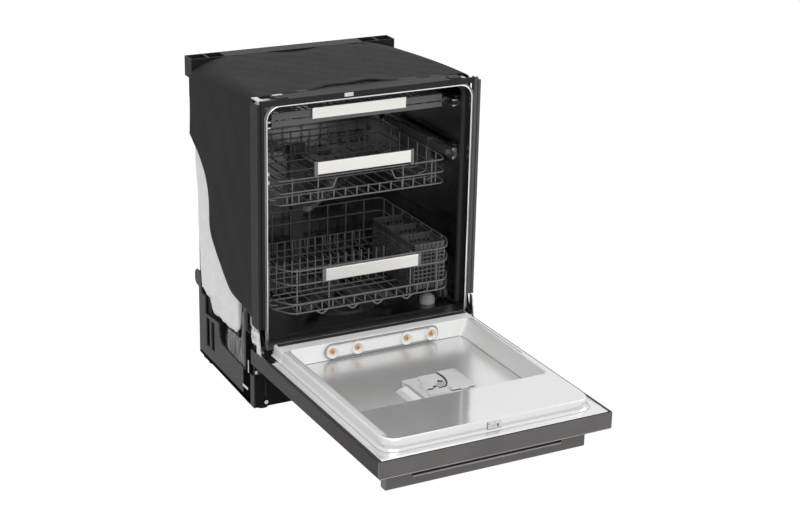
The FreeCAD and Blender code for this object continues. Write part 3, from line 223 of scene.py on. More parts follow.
def feed(node, **inputs):
    # each named input takes its value; a low line stands for a blank in its label
    for label, value in inputs.items():
        plug(node.inputs[label.replace("_", " ")], value)
    return node


def add(tree, kind, **inputs):
    # a new node with its inputs set
    return feed(tree.nodes.new("ShaderNode" + kind), **inputs)


def grainOf(tree, scale, stretch=(1, 1, 1), kind="TexNoise", **more):
    # a noise on Object coordinates that are scaled along each axis first
    coords = add(tree, "TexCoord").outputs["Object"]
    mapped = add(tree, "Mapping", Vector=coords, Scale=stretch).outputs["Vector"]
    return add(tree, kind, Vector=mapped, Scale=scale, **more).outputs[0]


def spread(source, low, high, fromLow=0.35, fromHigh=0.65):
    # the source's stretch from fromLow to fromHigh becomes low to high
    ends = {"From_Min": fromLow, "From_Max": fromHigh, "To_Min": low, "To_Max": high}
    return add(source.id_data, "MapRange", Value=source, **ends).outputs["Result"]


def tint(source, dark, light, fromLow=0.35, fromHigh=0.65):
    # the source's stretch from fromLow to fromHigh runs from the dark to the light colour
    ramp = add(source.id_data, "ValToRGB", Fac=source)
    for element, at, color in zip(ramp.color_ramp.elements, (fromLow, fromHigh), (dark, light)):
        element.position = at
        element.color = (*color, 1)
    return ramp.outputs["Color"]


def mathOf(operation, *sources, clamp=False):
    # one step of arithmetic on sockets or numbers
    node = add(sources[0].id_data, "Math")
    node.operation = operation
    node.use_clamp = clamp
    for source, socket in zip(sources, node.inputs):
        plug(socket, source)
    return node.outputs[0]


def mixColors(amount, under, over):
    # under where the amount is 0 and over where it is 1, each a colour or a socket
    node = add(amount.id_data, "Mix")
    node.data_type = "RGBA"
    for index, value in ((0, amount), (6, under), (7, over)):
        plug(node.inputs[index], value)
    return node.outputs[2]


def partsOf(tree, kind):
    # X, Y and Z of the place or the normal, in the object's own frame
    return add(tree, "SeparateXYZ", Vector=add(tree, "TexCoord").outputs[kind]).outputs


def newFinish(name, color, roughness, metallic=0.0, shift=0.08, patch=9.0, patchStretch=(1, 1, 1),
              grain=900.0, grainStretch=(1, 1, 1), relief=0.1, depth=0.0002, roughShift=0.07, round=0.0,
              **extra):
    # broad patches shift the colour a little, a fine grain shifts the gloss and gives the relief, and a small
    # rounding softens the light along hard edges
    finish = bpy.data.materials.new(name)
    finish.use_nodes = True
    tree = finish.node_tree
    color = np.asarray(color, float)
    broad = grainOf(tree, patch, patchStretch, Detail=3.0, Roughness=0.55)
    fine = grainOf(tree, grain, grainStretch, Detail=4.0, Roughness=0.55)
    bump = add(tree, "Bump", Strength=relief, Distance=depth, Height=fine)
    if round:
        soft = add(tree, "Bevel", Radius=round)
        soft.samples = 4
        feed(bump, Normal=soft.outputs["Normal"])
    feed(tree.nodes["Principled BSDF"], Metallic=metallic, **extra, Normal=bump.outputs["Normal"],
         Base_Color=tint(broad, color * (1 - shift), np.minimum(color * (1 + shift), 1)),
         Roughness=spread(fine, roughness - roughShift, roughness + roughShift))
    return finish


def insides(finish):
    # the finish's nodes, its shader and the socket its colour comes from
    tree = finish.node_tree
    shader = tree.nodes["Principled BSDF"]
    return tree, shader, shader.inputs["Base Color"].links[0].from_socket


def moulded(name, color, roughness=0.45, **more):
    # plastic, with a fine grain
    return newFinish(name, color, roughness, grain=1500, relief=0.18, depth=0.00015, round=0.0007, **more)


def painted(name, color, roughness=0.4, **more):
    # paint, with a broader and flatter grain
    return newFinish(name, color, roughness, grain=420, relief=0.05, depth=0.0003, round=0.0008, **more)


def brushed(name, color, roughness, along, lines=900.0, metallic=1.0, **more):
    # a noise drawn out sixty times along the brushing
    stretch = [1.0, 1.0, 1.0]
    stretch[along] = 1 / 60
    return newFinish(name, color, roughness, metallic, grain=lines, grainStretch=stretch, patch=6, **more)


blackPlastic = moulded("blackPlastic", (0.016, 0.016, 0.017), 0.45, Specular_IOR_Level=0.1)
greyPlastic = moulded("greyPlastic", (0.07, 0.07, 0.075), 0.42)
trayPlastic = moulded("trayPlastic", (0.11, 0.11, 0.115), 0.4)
palePlastic = moulded("palePlastic", (0.64, 0.64, 0.65), 0.38)
whitePlastic = moulded("whitePlastic", (0.78, 0.78, 0.77), 0.35)
glossWhite = moulded("glossWhite", (0.84, 0.84, 0.84), 0.16)
columnPaint = painted("columnPaint", (0.024, 0.024, 0.0255), 0.46, Specular_IOR_Level=0.08)
# the column paint made lighter for the right column: painted light from the right side
litColumnPaint = painted("litColumnPaint", (0.08, 0.08, 0.083), 0.42, Specular_IOR_Level=0.2)
basePlastic = moulded("basePlastic", (0.058, 0.058, 0.059), 0.5, Specular_IOR_Level=0.15)
kickPaint = painted("kickPaint", (0.012, 0.012, 0.0125), 0.42, Specular_IOR_Level=0.06)
# black without gloss: painted shade for the base's recess and foot, also used on the hinge gussets
blackAndPaintedShade = moulded("blackAndPaintedShade", (0.006, 0.006, 0.006), 0.6, Specular_IOR_Level=0.0)
stripPaint = painted("stripPaint", (0.115, 0.102, 0.103), 0.34, metallic=0.25)
# light paint for the painted highlights on the door's edges
highlightPaint = painted("highlightPaint", (0.34, 0.325, 0.325), 0.34, metallic=0.2)
# dark paint for the painted shade in the handle
paintedShadeDark = painted("paintedShadeDark", (0.06, 0.053, 0.054), 0.4, Specular_IOR_Level=0.1)
boxPaint = painted("boxPaint", (0.32, 0.32, 0.33), 0.4)
wireCoat = painted("wireCoat", (0.14, 0.14, 0.145), 0.36)
blackRubber = moulded("blackRubber", (0.02, 0.02, 0.022), 0.6)
# tub steel painted far darker than stainless: painted shade for the deep inside of the tub
shadedTubSteel = brushed("shadedTubSteel", (0.2, 0.2, 0.203), 0.24, 2, relief=0.02, depth=0.0001, roughShift=0.03)
panelSteel = brushed("panelSteel", (0.032, 0.028, 0.029), 0.34, 0, round=0.0008,
                     Specular_Tint=(0.88, 0.85, 0.855, 1))
railSteel = brushed("railSteel", (0.55, 0.55, 0.56), 0.28, 1, round=0.0006)
handleSilver = brushed("handleSilver", (0.83, 0.815, 0.78), 0.42, 0, relief=0.06, depth=0.0001, round=0.0007,
                       shift=0.02)
rimSteel = brushed("rimSteel", (0.8, 0.8, 0.79), 0.22, 2, relief=0.03, depth=0.0001)
zincPlate = newFinish("zincPlate", (0.6, 0.6, 0.6), 0.34, 1.0, patch=120, shift=0.16, grain=260, relief=0.06,
                      depth=0.0003, round=0.0006)
springSteel = newFinish("springSteel", (0.3, 0.3, 0.31), 0.36, 1.0)
boardGreen = moulded("boardGreen", (0.03, 0.075, 0.04), 0.5)
floatGrey = moulded("floatGrey", (0.42, 0.42, 0.41), 0.36)
amberCore = newFinish("amberCore", (0.78, 0.4, 0.08), 0.22, grain=500, shift=0.2, patch=300)
amberDark = newFinish("amberDark", (0.2, 0.08, 0.015), 0.3, grain=500, shift=0.1)
clearRing = newFinish("clearRing", (0.93, 0.93, 0.92), 0.14, grain=500, shift=0.02, Transmission_Weight=0.12,
                      IOR=1.46)
# darker steel for the steam plate's edge: painted reflection of the dark tub
plateEdgeReflectionSteel = newFinish("plateEdgeReflectionSteel", (0.34, 0.34, 0.345), 0.3, 0.8)
grooveGrey = moulded("grooveGrey", (0.2, 0.2, 0.205), 0.45)
leverGrey = moulded("leverGrey", (0.4, 0.4, 0.41), 0.4)
# dark for the gap line round the hook and for the painted shadows by the lever
gapAndShadowDark = moulded("gapAndShadowDark", (0.03, 0.03, 0.031), 0.5)


def polishedSteel():
    # polished on the raised platform and its near wall, softer on the sunk floor, satin on the other walls
    # and the side rims, satin and palest by the hinges; the paler colour there is painted light on the far
    # wall
    finish = newFinish("linerSteel", (0.76, 0.76, 0.755), 0.16, grain=7, relief=0.06, depth=0.005,
                       shift=0.015)
    tree, shader, under = insides(finish)
    facing, where = partsOf(tree, "Normal"), partsOf(tree, "Object")
    hingeEndSatinAndLight = spread(where["Y"], 0, 1, 0.009, 0.014)
    sideRim = spread(mathOf("ABSOLUTE", where["X"]), 0, 0.8, 0.2485, 0.254)
    level = spread(facing["Z"], 0, 1, 0.8, 0.97)
    polish = mathOf("SUBTRACT", level, mathOf("MAXIMUM", hingeEndSatinAndLight, sideRim), clamp=True)
    # for each input: its value on the near wall, on the other walls, on the floor and on the platform
    for label, near, wall, floor, platform in (("Metallic", 0.6, 0.1, 0.62, 0.6),
                                               ("Roughness", 0.18, 0.36, 0.25, 0.1)):
        steep = spread(where["Y"], near, wall, -0.512, -0.49)
        flat = spread(where["Z"], floor, platform, 0.18, 0.2)
        feed(shader, **{label: spread(polish, steep, flat, 0, 1)})
    # painted light: a paler colour at the hinge end, where the far wall looks bright
    feed(shader, Base_Color=mixColors(hingeEndSatinAndLight, under, (0.94, 0.94, 0.935, 1)))
    return finish


def bitumenSheet():
    # dark sheet with a felted relief and a scatter of pale specks
    finish = newFinish("bitumenSheet", (0.0265, 0.0265, 0.028), 0.62, patch=9, shift=0.06, grain=240,
                       relief=0.1, depth=0.0005, Specular_IOR_Level=0.05)
    tree, shader, under = insides(finish)
    speck = tint(grainOf(tree, 330, Detail=1.0, Roughness=0.55), (0, 0, 0), (1, 1, 1), 0.76, 0.79)
    feed(shader, Base_Color=mixColors(speck, under, (0.07, 0.07, 0.07, 1)))
    return finish


def meshSteel():
    # a fine woven steel: pale in the cells' rims, dark in their middles
    finish = newFinish("meshSteel", (0.34, 0.34, 0.34), 0.36, 1.0)
    tree, shader = insides(finish)[:2]
    weave = grainOf(tree, 900, kind="TexVoronoi")
    feed(shader, Base_Color=tint(weave, (0.02, 0.02, 0.02), (0.42, 0.42, 0.42), 0.15, 0.5))
    return finish


def needledWool():
    # grey wool in upright streaks, with painted shade that makes it almost black towards the front edge
    finish = newFinish("needledWool", (0.17, 0.17, 0.18), 0.88, patch=150, patchStretch=(1, 1, 0.14),
                       shift=0.8, grain=520, grainStretch=(1, 1, 0.2), relief=0.8, depth=0.0016,
                       Sheen_Weight=0.15)
    tree, shader, wool = insides(finish)
    # painted shade: the wool turns almost black towards the front edge, where it lies in shadow
    clearOfFrontShade = spread(partsOf(tree, "Object")["Y"], 0, 1, 0.208, 0.222)
    feed(shader, Base_Color=mixColors(clearOfFrontShade, (0.006, 0.006, 0.007, 1), wool))
    return finish


linerSteel = polishedSteel()
matSheet = bitumenSheet()
filterMesh = meshSteel()
needledFibre = needledWool()
fleece = newFinish("fleece", (0.86, 0.86, 0.87), 0.9, patch=40, shift=0.03, grain=700, relief=0.3,
                   depth=0.0006, Sheen_Weight=0.25, Sheen_Roughness=0.5)
clearFilm = newFinish("clearFilm", (0.72, 0.76, 0.76), 0.18, grain=160, relief=0.4, depth=0.0008, shift=0.1,
                      patch=60, Transmission_Weight=0.45, IOR=1.3)

nodeFinishes = [
    (shadedTubSteel, "tub"), (litColumnPaint, "right_column"), (columnPaint, "left_column top_trim counter_brackets"),
    (blackPlastic, "rear_beam front_left_foot front_right_foot rear_feet wash_pump drain_pump latch_body"),
    (blackRubber, "door_seal"), (basePlastic, "base_pan"), (kickPaint, "toe_kick hinge_brackets"),
    (zincPlate, "toe_kick_screws latch_bolt latch_keeper hinge_pins hinge_arms"),
    (greyPlastic, "sump filter_cup feed_pipe lower_spray_arm upper_feed_tube upper_spray_arm rack_lifts"),
    (greyPlastic, "front_wheels rear_wheels"), (filterMesh, "filter_plate"), (whitePlastic, "inlet_valve"),
    (boxPaint, "junction_box"), (floatGrey, "float_cap"), (railSteel, "upper_rails upper_slides third_rails"),
    (handleSilver, "upper_rack_handle third_rack_handle lower_rack_handle"), (panelSteel, "door_panel"),
    (stripPaint, "control_strip door_handle"), (boardGreen, "control_board"),
    (linerSteel, "door_liner steam_plate"), (palePlastic, "dispenser detergent_lid rinse_cap"),
    (springSteel, "hinge_springs"),
]
for finish, names in nodeFinishes:
    for nodeName in names.split():
        nodes[nodeName].material_slots[0].material = finish
print("finishes on the nodes")


# racks: bent and coated wire

upRight, alongX, alongY = (0, 0, 1), (1, 0, 0), (0, 1, 0)


def ringCorners(rack, z):
    # front run, two cut corners, sides and back
    nose, half, front, back = (rack[k] for k in ("nose", "half", "front", "back"))
    cut = front + rack["cut"]
    return [(-nose, front, z), (nose, front, z), (half, cut, z), (half, back, z), (-half, back, z),
            (-half, cut, z)]


def wireRing(rack, z):
    # a wire along the ring's rounded corners
    return tube(bentPath(ringCorners(rack, z), rack["bend"], closed=True), rack["wire"], upRight, closed=True)


def brokenRing(rack):
    # the same ring, cut open behind the handle, its two ends bent up
    z, front, (left, right, rise) = rack["broken"], rack["front"], rack["ends"]
    ring, run = ringCorners(rack, z), rise * 0.45
    corners = [(left, front, z + rise), (left - run, front, z), ring[0], *ring[:0:-1],
               (right + run, front, z), (right, front, z + rise)]
    bends = [5] + [rack["bend"]] * 6 + [5]
    return tube(bentPath(corners, bends), rack["wire"], (0.02, 0.6, 0.8))


def uprights(rack, places, y, high):
    # straight wires from the floor up
    return [tube([(x, y, rack["floor"]), (x, y, high)], rack["wire"], alongX) for x in places]


def sideWires(rack):
    # down the side, with the foot bent in under the floor
    half, low = rack["half"] - 2 * rack["wire"], rack["floor"] + 4
    wires = []
    for y in np.linspace(rack["front"] + rack["cut"] + 24, rack["back"] - 24, rack["sidePlaces"]):
        path = bentPath([(half, y, rack["top"]), (half, y, low), (half - 22, y, low - 4)], 9)
        wires.append(tube(path, rack["wire"], alongY))
    return mirrored(wires)


def floorWires(rack):
    # long wires an even pitch apart, bent up at the front and the back, and the wires that cross them
    r, low, high = rack["wire"], rack["floor"], rack["floor"] + rack["upturn"]
    front, back, half = rack["front"] + 2 * r, rack["back"] - 2 * r, rack["half"] - r
    wires = [tube([(-half, y, low + 4), (half, y, low + 4)], r, alongY) for y in rack["cross"]]
    for x in (np.arange(14) * 2 - 13) * rack["halfPitch"]:
        path = bentPath([(x, front, high), (x, front, low), (x, back, low), (x, back, high)], 10)
        wires.append(tube(path, r, alongX))
    return wires


def makeRack(rack):
    # all of a rack's wires and the ends of its handle
    front, r = rack["front"], rack["wire"]
    shapes = [wireRing(rack, z) for z in rack["rings"]] + [brokenRing(rack)]
    shapes += uprights(rack, rack["frontPlaces"], front + 2 * r, rack["top"] + 1)
    shapes += uprights(rack, rack["backPlaces"], rack["back"] - 2 * r, rack["top"])
    shapes += sideWires(rack) + floorWires(rack)
    handleEnd = bar(*rack["handleEnd"], front - 8, front - 2, *rack["handleSpan"], 1.6, axis=0)
    return shapes + mirrored([handleEnd])


lowerRack = {"half": 245, "nose": 212, "front": -10, "cut": 55, "back": 412, "bend": 20, "wire": 2.0,
             "rings": (276, 300, 386), "broken": 350, "ends": (-71, 76, 30), "floor": 272, "top": 388,
             "frontPlaces": (-200, -114, 112, 187), "sidePlaces": 7, "halfPitch": 14.71, "upturn": 26,
             "backPlaces": np.linspace(-190, 190, 8), "cross": (40, 96, 166, 226, 306, 366),
             "handleEnd": (127, 136), "handleSpan": (350, 386), "hooks": (-134, -50, 19, 101),
             "hook": (13, 9), "wheelPlaces": (80, 350), "axle": 226.6, "axleEnds": (245, 262),
             "leg": (243, 247), "legTop": 274}


def makeLowerFittings(rack):
    # small hanging bends below the front wire, and the legs and axles of the wheels
    front, z, axle, (reach, drop) = rack["front"], rack["floor"] + 2, rack["axle"], rack["hook"]
    hooks = []
    for x in rack["hooks"]:
        path = bentPath([(x - reach, front, z), (x, front, z - drop), (x + reach, front, z)], 5)
        hooks.append(tube(path, rack["wire"], alongY))
    legs = []
    for y in rack["wheelPlaces"]:
        legs.append(slab(roundedRect(y - 10, y + 10, axle - 10, rack["legTop"], 5), *rack["leg"], 0))
        legs.append(tube([(x, y, axle) for x in rack["axleEnds"]], 3, upRight, 12))
    return hooks + mirrored(legs)


lowerShapes = makeRack(lowerRack) + makeLowerFittings(lowerRack)
makePiece("lowerRackWires", lowerShapes, wireCoat, "lower_rack", "lower_rack", instead=True)

upperRack = {"half": 236, "nose": 226, "front": 40, "cut": 30, "back": 412, "bend": 14, "wire": 2.0,
             "rings": (541, 602), "broken": 570, "ends": (-73, 78, 22), "floor": 537, "top": 604,
             "frontPlaces": (-190, -121, 112, 193), "sidePlaces": 7, "halfPitch": 15.7, "upturn": 26,
             "backPlaces": np.linspace(-190, 190, 8), "cross": (100, 190, 280, 360), "handleEnd": (127, 136),
             "handleSpan": (602, 643)}
makePiece("upperRackWires", makeRack(upperRack), wireCoat, "upper_rack", "upper_rack", instead=True)

tineRow = {"places": np.linspace(-197, 104, 15), "bar": 276.3, "left": -205, "right": 112, "high": 362.3,
           "wire": 1.7, "pivot": 2.0}


def makeTineRow(row, y):
    # a pivot wire and a row of upright wires with round tips
    low, high, r = row["bar"] + 1, row["high"] - row["wire"], row["wire"]
    pivot = tube([(row["left"], y, row["bar"]), (row["right"], y, row["bar"])], row["pivot"], upRight)
    return [pivot] + [tube([(x, y, low), (x, y, high)], r, alongX) for x in row["places"]]


for body, node, y in (("front_tines", "front_tine_row", 124), ("rear_tines", "rear_tine_row", 262)):
    makePiece(body + "Wires", makeTineRow(tineRow, y), wireCoat, body, node, instead=True)
print("racks and tines made")


# cutlery basket: ribs crossing in a moulded frame

basket = {"x": (125, 217), "y": (4, 230), "z": (278.3, 400), "cells": 3, "wall": 2.5, "rim": 16, "foot": 18,
          "rib": 3.2, "pitch": 13, "levelPitch": 11, "floorRibs": (9, 16)}


def latticeWall(low, high, z0, z1, at, axis, b):
    # upright ribs and level ribs crossing between a deep rim and a deep foot
    wall = b["wall"]

    def rib(a0, a1, c0, c1, thick):
        # a0 to a1 along the wall, c0 to c1 in height
        if axis == 0:
            return bar(at - thick / 2, at + thick / 2, a0, a1, c0, c1, 0.6)
        return bar(a0, a1, at - thick / 2, at + thick / 2, c0, c1, 0.6)

    shapes = [rib(low, high, z1 - b["rim"], z1, wall), rib(low, high, z0, z0 + b["foot"], wall)]
    count = int(round((high - low) / b["pitch"]))
    for a in np.linspace(low + 4, high - 4, count + 1):
        shapes.append(rib(a - b["rib"] / 2, a + b["rib"] / 2, z0 + 1, z1 - 1, wall))
    levels = int(round((z1 - z0 - b["rim"] - b["foot"]) / b["levelPitch"]))
    for z in np.linspace(z0 + b["foot"], z1 - b["rim"], levels + 1)[1:-1]:
        shapes.append(rib(low, high, z - 2.0, z + 2.0, wall * 0.9))
    return shapes


def makeBasket(b):
    # cross walls an even way apart, two long walls, and a floor of crossing ribs
    (x0, x1), (y0, y1), (z0, z1) = b["x"], b["y"], b["z"]
    half, (along, across) = b["wall"] / 2, b["floorRibs"]
    shapes = []
    for y in np.linspace(y0 + half, y1 - half, b["cells"] + 1):
        shapes += latticeWall(x0, x1, z0, z1, y, 1, b)
    for x in (x0 + half, x1 - half):
        shapes += latticeWall(y0, y1, z0, z1, x, 0, b)
    for x in np.linspace(x0 + 4, x1 - 4, along):
        shapes.append(bar(x - 2.2, x + 2.2, y0 + 1, y1 - 1, z0, z0 + 2.5, 0.6, axis=1))
    for y in np.linspace(y0 + 8, y1 - 8, across):
        shapes.append(bar(x0 + 1, x1 - 1, y - 2, y + 2, z0 + 0.2, z0 + 2.4, 0.6, axis=0))
    return shapes


makePiece("basketLattice", makeBasket(basket), greyPlastic, "basket", "cutlery_basket", instead=True)
print("basket made")


# insulation: the mat, the felt under it and the fibre pads

mat = {"half": 292.3, "top": 814, "corner": (20, 46), "reach": (20, 140), "front": 42.3, "back": 434,
       "thick": 4.0, "edge": [(42.3, 261), (50, 261), (111, 275), (187, 283), (243, 331), (313, 402),
                              (318, 521), (384, 594), (434, 625)]}


def smoothEdge(corners, count, window=9):
    # even steps along the corner line, each averaged with its neighbours
    corners = np.asarray(corners, float)
    along = np.concatenate([[0], np.cumsum(np.linalg.norm(np.diff(corners, axis=0), axis=1))])
    steps = np.linspace(0, along[-1], count)
    line = np.stack([np.interp(steps, along, corners[:, i]) for i in (0, 1)], -1)
    padded = np.pad(line, ((window, window), (0, 0)), "reflect", reflect_type="odd")
    weight = np.hanning(2 * window + 1)
    weight /= weight.sum()
    return np.stack([np.convolve(padded[:, i], weight, "valid") for i in (0, 1)], -1)


def archSection(half, top, corner, reach, edges, sideSteps, topSteps, cornerSteps=13):
    # for each edge height: up the left side, round a corner as tall as corner and as wide as reach, over the
    # top and down the right side
    corner = np.broadcast_to(corner, edges.shape)[:, None]
    reach = np.broadcast_to(reach, edges.shape)[:, None]
    t = np.linspace(0, 1, sideSteps)[None, :]
    side = edges[:, None] + (top - corner - edges[:, None]) * t
    turn = np.linspace(0, math.pi / 2, cornerSteps)[None, 1:-1]
    arcX = -half + reach * (1 - np.cos(turn))
    arcZ = top - corner * (1 - np.sin(turn))
    flatX = (half - reach) * np.linspace(-1, 1, topSteps)[None, :]
    over = np.full_like(flatX, top)
    x = np.hstack([np.full_like(side, -half), arcX, flatX, -arcX[:, ::-1], np.full_like(side, half)])
    z = np.hstack([side, arcZ, over, arcZ[:, ::-1], side[:, ::-1]])
    return x, z


def runningEdge(sheet, count, window=9):
    # the edge line from front to back, never turning back; the bend's height and width over the top open with
    # the square of the way back
    edge = smoothEdge(sheet["edge"], count, window)
    edge[0], edge[-1] = sheet["edge"][0], sheet["edge"][-1]
    edge[:, 0] = np.maximum.accumulate(np.clip(edge[:, 0], sheet["front"], sheet["back"]))
    edge[:, 0] += np.arange(count) * 1e-4
    way = ((edge[:, 0] - sheet["front"]) / (sheet["back"] - sheet["front"])) ** 2
    bend, reach = (low + (high - low) * way for low, high in (sheet["corner"], sheet["reach"]))
    return edge, bend, reach


def makeMat(m):
    # the arch section carried back along the edge line, with slow waves and the front edge lifted in the
    # middle
    edge, bend, reach = runningEdge(m, 90)
    x, z = archSection(m["half"], m["top"], bend, reach, edge[:, 1], 40, 60)
    y = np.repeat(edge[:, :1], x.shape[1], 1)
    middle = np.exp(-((x + 20) / 105) ** 4)
    onTop = z > m["top"] - 0.5
    near = np.exp(-((y - m["front"]) / 60) ** 2)
    y = np.where(onTop, y + middle * near * (22 + 3 * np.sin(x / 17)), y)
    lift = middle * np.exp(-((y - m["front"] - 22) / 30) ** 2) * (4.6 + 1.2 * np.sin(x / 23 + 1))
    wave = ripple(y / 100, z / 100, [(0.6, 0.5, 0.35, 0.3), (0.4, 0.9, -0.5, 1.9), (0.25, 1.6, 1.1, 0.8)])
    hem = np.exp(-np.abs(z - edge[:, 1:]) / 18)
    flare = 1.6 * hem * (0.5 + 0.5 * np.sin(y / 21 + 0.6))
    low = z < m["top"] - 2 * bend[:, None]
    x = np.where(low, x + np.sign(x) * (wave * 0.6 + flare), x)
    top = ripple(x / 100, y / 100, [(0.5, 0.45, 0.3, 0.2), (0.35, -0.8, 0.6, 1.1), (0.2, 1.4, 1.2, 2.0)])
    sag = 7 * np.exp(-((m["back"] - y) / 34) ** 2) * (0.55 + 0.45 * np.cos(2 * math.pi * (x + 10) / 240))
    z = np.where(onTop, z + top + lift - sag, z)
    return np.stack([x, y, z], -1)


matGrid = makeMat(mat)
matPiece = makePiece("insulationSheet", openSheet(matGrid), matSheet, "cabinet", "insulation_mat", True, 0)
thickness = matPiece.modifiers.new("thickness", "SOLIDIFY")
thickness.thickness = mat["thick"] / 1000
thickness.offset = -1

felt = {"half": 288.0, "inner": 276.3, "top": 809.7, "under": 804.3, "corner": (16, 42), "reach": (16, 136),
        "innerCorner": 34, "front": 42.3, "back": 422, "crease": (277, 266), "fold": ((279, 220), (350, 205)),
        "edge": [(42.3, 270), (108, 270), (152, 266), (158, 190), (178, 171), (232, 167), (276, 169),
                 (281, 166), (339, 164), (347, 202), (398, 210), (402, 290), (415, 450), (422, 560)]}


def makeFelt(f):
    # an outer and an inner arch joined round the rim; a flap hangs in front of the crease, and below the
    # fold line the sheet lies further in
    edge, bend, reach = runningEdge(f, 170, 3)
    ragged = ripple(edge[:, 0] / 100, 0, [(1.2, 2.1, 0, 0.4), (0.8, 5.3, 0, 1.3), (0.5, 11.0, 0, 2.2)])
    low = edge[:, 1] + ragged + 1
    outX, outZ = archSection(f["half"], f["top"], bend, reach, low, 70, 40)
    inBend = f["innerCorner"]
    inX, inZ = archSection(f["inner"], f["under"], inBend, inBend, low, 70, 40)
    y = np.repeat(edge[:, :1], outX.shape[1], 1)
    swell = ripple(y / 100, outZ / 100, [(0.8, 0.7, 0.4, 0.2), (0.6, 1.3, -0.8, 1.0), (0.3, 2.4, 1.5, 2.6)])
    creaseY = np.interp(outZ, (f["fold"][0][1], 276), f["crease"])
    tall = np.clip((300 - outZ) / 30, 0, 1)
    crease = 6.0 * np.exp(-np.abs(y - creaseY) / 2.6) * tall
    foldZ = np.interp(y, *zip(*f["fold"]))
    under = (y > f["fold"][0][0]) & (y < f["fold"][1][0]) & (outZ < foldZ)
    wrinkle = 4.5 + 1.2 * np.sin(y / 3.1) + 0.8 * np.sin(outZ / 4.7)
    hem = 4.0 * np.exp(-(outZ - low[:, None]) / 5)
    side = outZ < f["top"] - bend[:, None]
    draw = np.clip(0.9 - swell + crease + hem + np.where(under, wrinkle, 0), 0, 9)
    outX = np.where(side, outX - np.sign(outX) * draw, outX)
    inHem = 3.0 * np.exp(-(inZ - low[:, None]) / 7)
    inX = np.where(inZ < f["under"] - inBend, inX + np.sign(inX) * np.minimum(inHem, 2.0), inX)
    return closedSheet(np.stack([outX, y, outZ], -1), np.stack([inX, y, inZ], -1))


def makePuffs(places):
    # low domes of felt that push up behind the trim: (x, y, half length)
    shapes = []
    for x, y, half in places:
        profile = [(half, 0), (half * 0.9, 3), (half * 0.6, 5.6), (half * 0.25, 6.6)]
        points, faces = turned(profile, (0, 0, 0), 2, 24)
        shapes.append((points * (1, 0.36, 1) + (x, y, felt["top"]), faces))
    return shapes


feltShapes = [makeFelt(felt)] + makePuffs([(-42, 62, 14), (58, 63, 24)])
feltPiece = makePiece("feltBlanket", feltShapes, fleece, "cabinet", "insulation_felt", True, 0)

fibre = {"x": (276.3, 281.7), "low": [(113, 75), (150, 70), (246, 100)],
         "high": [(113, 258), (146, 236), (146.5, 184), (160, 160), (240, 160), (246, 108)]}


def makeFibrePads(f):
    # between a low and a high edge the thickness falls to a feathered rim, and the faces carry upright
    # streaks
    low, high = np.asarray(f["low"], float), np.asarray(f["high"], float)
    rows, cols = 70, 60
    y = np.linspace(low[0, 0], low[-1, 0], rows)
    z0, z1 = np.interp(y, low[:, 0], low[:, 1]), np.interp(y, high[:, 0], high[:, 1])
    u, v = np.linspace(0, 1, rows)[:, None], np.linspace(0, 1, cols)
    ys, zs = np.repeat(y[:, None], cols, 1), z0[:, None] + (z1 - z0)[:, None] * v
    crown = np.minimum(1, 7 * np.minimum(np.minimum(u, 1 - u), np.minimum(v, 1 - v)[None, :])) ** 0.5
    streak = ripple(ys / 100, zs / 100, [(0.5, 9, 0.6, 0.2), (0.4, 17, -0.8, 1.1), (0.3, 29, 1.4, 2.4)])
    middle, half = sum(f["x"]) / 2, (f["x"][1] - f["x"][0]) / 2
    out = half * crown * (0.86 + 0.12 * streak)
    outer = np.stack([middle + out + 0.05, ys, zs], -1)
    inner = np.stack([middle - half * crown * 0.8 - 0.05, ys, zs], -1)
    points, faces = closedSheet(outer, inner)
    return mirrored([(points, [face[:, ::-1] for face in faces])])


fibrePiece = makePiece("fibrePadding", makeFibrePads(fibre), needledFibre, "cabinet", "fibre_pads", True, 0)


# steam nozzles: a collar, a clear dish and an amber core

nozzle = {"places": (-135, -66, 70, 140), "z": 187, "face": -69, "r": 17.5, "proud": 8, "star": (6.6, 3.6)}


def makeNozzles(n):
    # a collar turned about its axis, a star whose reach steps out and in every two points, and a small
    # turned eye
    collars, cores, eyes = [], [], []
    for x in n["places"]:
        r, p = n["r"], n["proud"]
        profile = [(r - 9, 0), (r, 0), (r, p * 0.55), (r - 1.2, p * 0.85), (r - 3, p), (r - 4.6, p * 0.92),
                   (r - 6, p * 0.6), (r - 8.4, p * 0.42), (8.6, p * 0.36), (8.0, 0.6)]
        collars.append(turned([(a, -h) for a, h in profile], (x, n["face"], n["z"]), 1, 40))
        corner = np.arange(20)
        angle = corner * 2 * math.pi / len(corner)
        reach = np.where(corner % 4 < 2, *n["star"])
        star = np.stack([x + reach * np.cos(angle), n["z"] + reach * np.sin(angle)], -1)
        cores.append(slab(star, n["face"] - p * 0.62, n["face"] - 0.4, 1, 0.6))
        eyes.append(turned([(2.2, 0), (2.0, -1.6), (1.0, -2.2)], (x, n["face"] - p * 0.6, n["z"]), 1, 16))
    return collars, cores, eyes


collars, cores, eyes = makeNozzles(nozzle)
makePiece("nozzleCollars", collars, clearRing, "door", "steam_nozzles", instead=True)
makePiece("nozzleCores", cores, amberCore, "door", "steam_nozzles")
makePiece("nozzleEyes", eyes, amberDark, "door", "steam_nozzles")
print("nozzles made")

# steam plate: a steel cord round its edge, its darker steel a painted reflection of the dark tub

plate = {"x": (-135, 140), "z": 187, "round": 18.4, "y": -69.4, "wire": 2.9}


def makeCord(p):
    # two half circles joined by straight runs
    turn = np.linspace(-math.pi / 2, math.pi / 2, 14)
    right = np.stack([p["x"][1] + p["round"] * np.cos(turn), p["z"] + p["round"] * np.sin(turn)], -1)
    left = np.stack([p["x"][0] - p["round"] * np.cos(turn), p["z"] - p["round"] * np.sin(turn)], -1)
    return tube(np.insert(np.vstack([right, left]), 1, p["y"], axis=1), p["wire"], alongY, closed=True)


makePiece("plateCord", makeCord(plate), plateEdgeReflectionSteel, "door", "steam_plate")


# door liner: flat rims, a raised platform and the sunk field, drawn as rings from the outside in

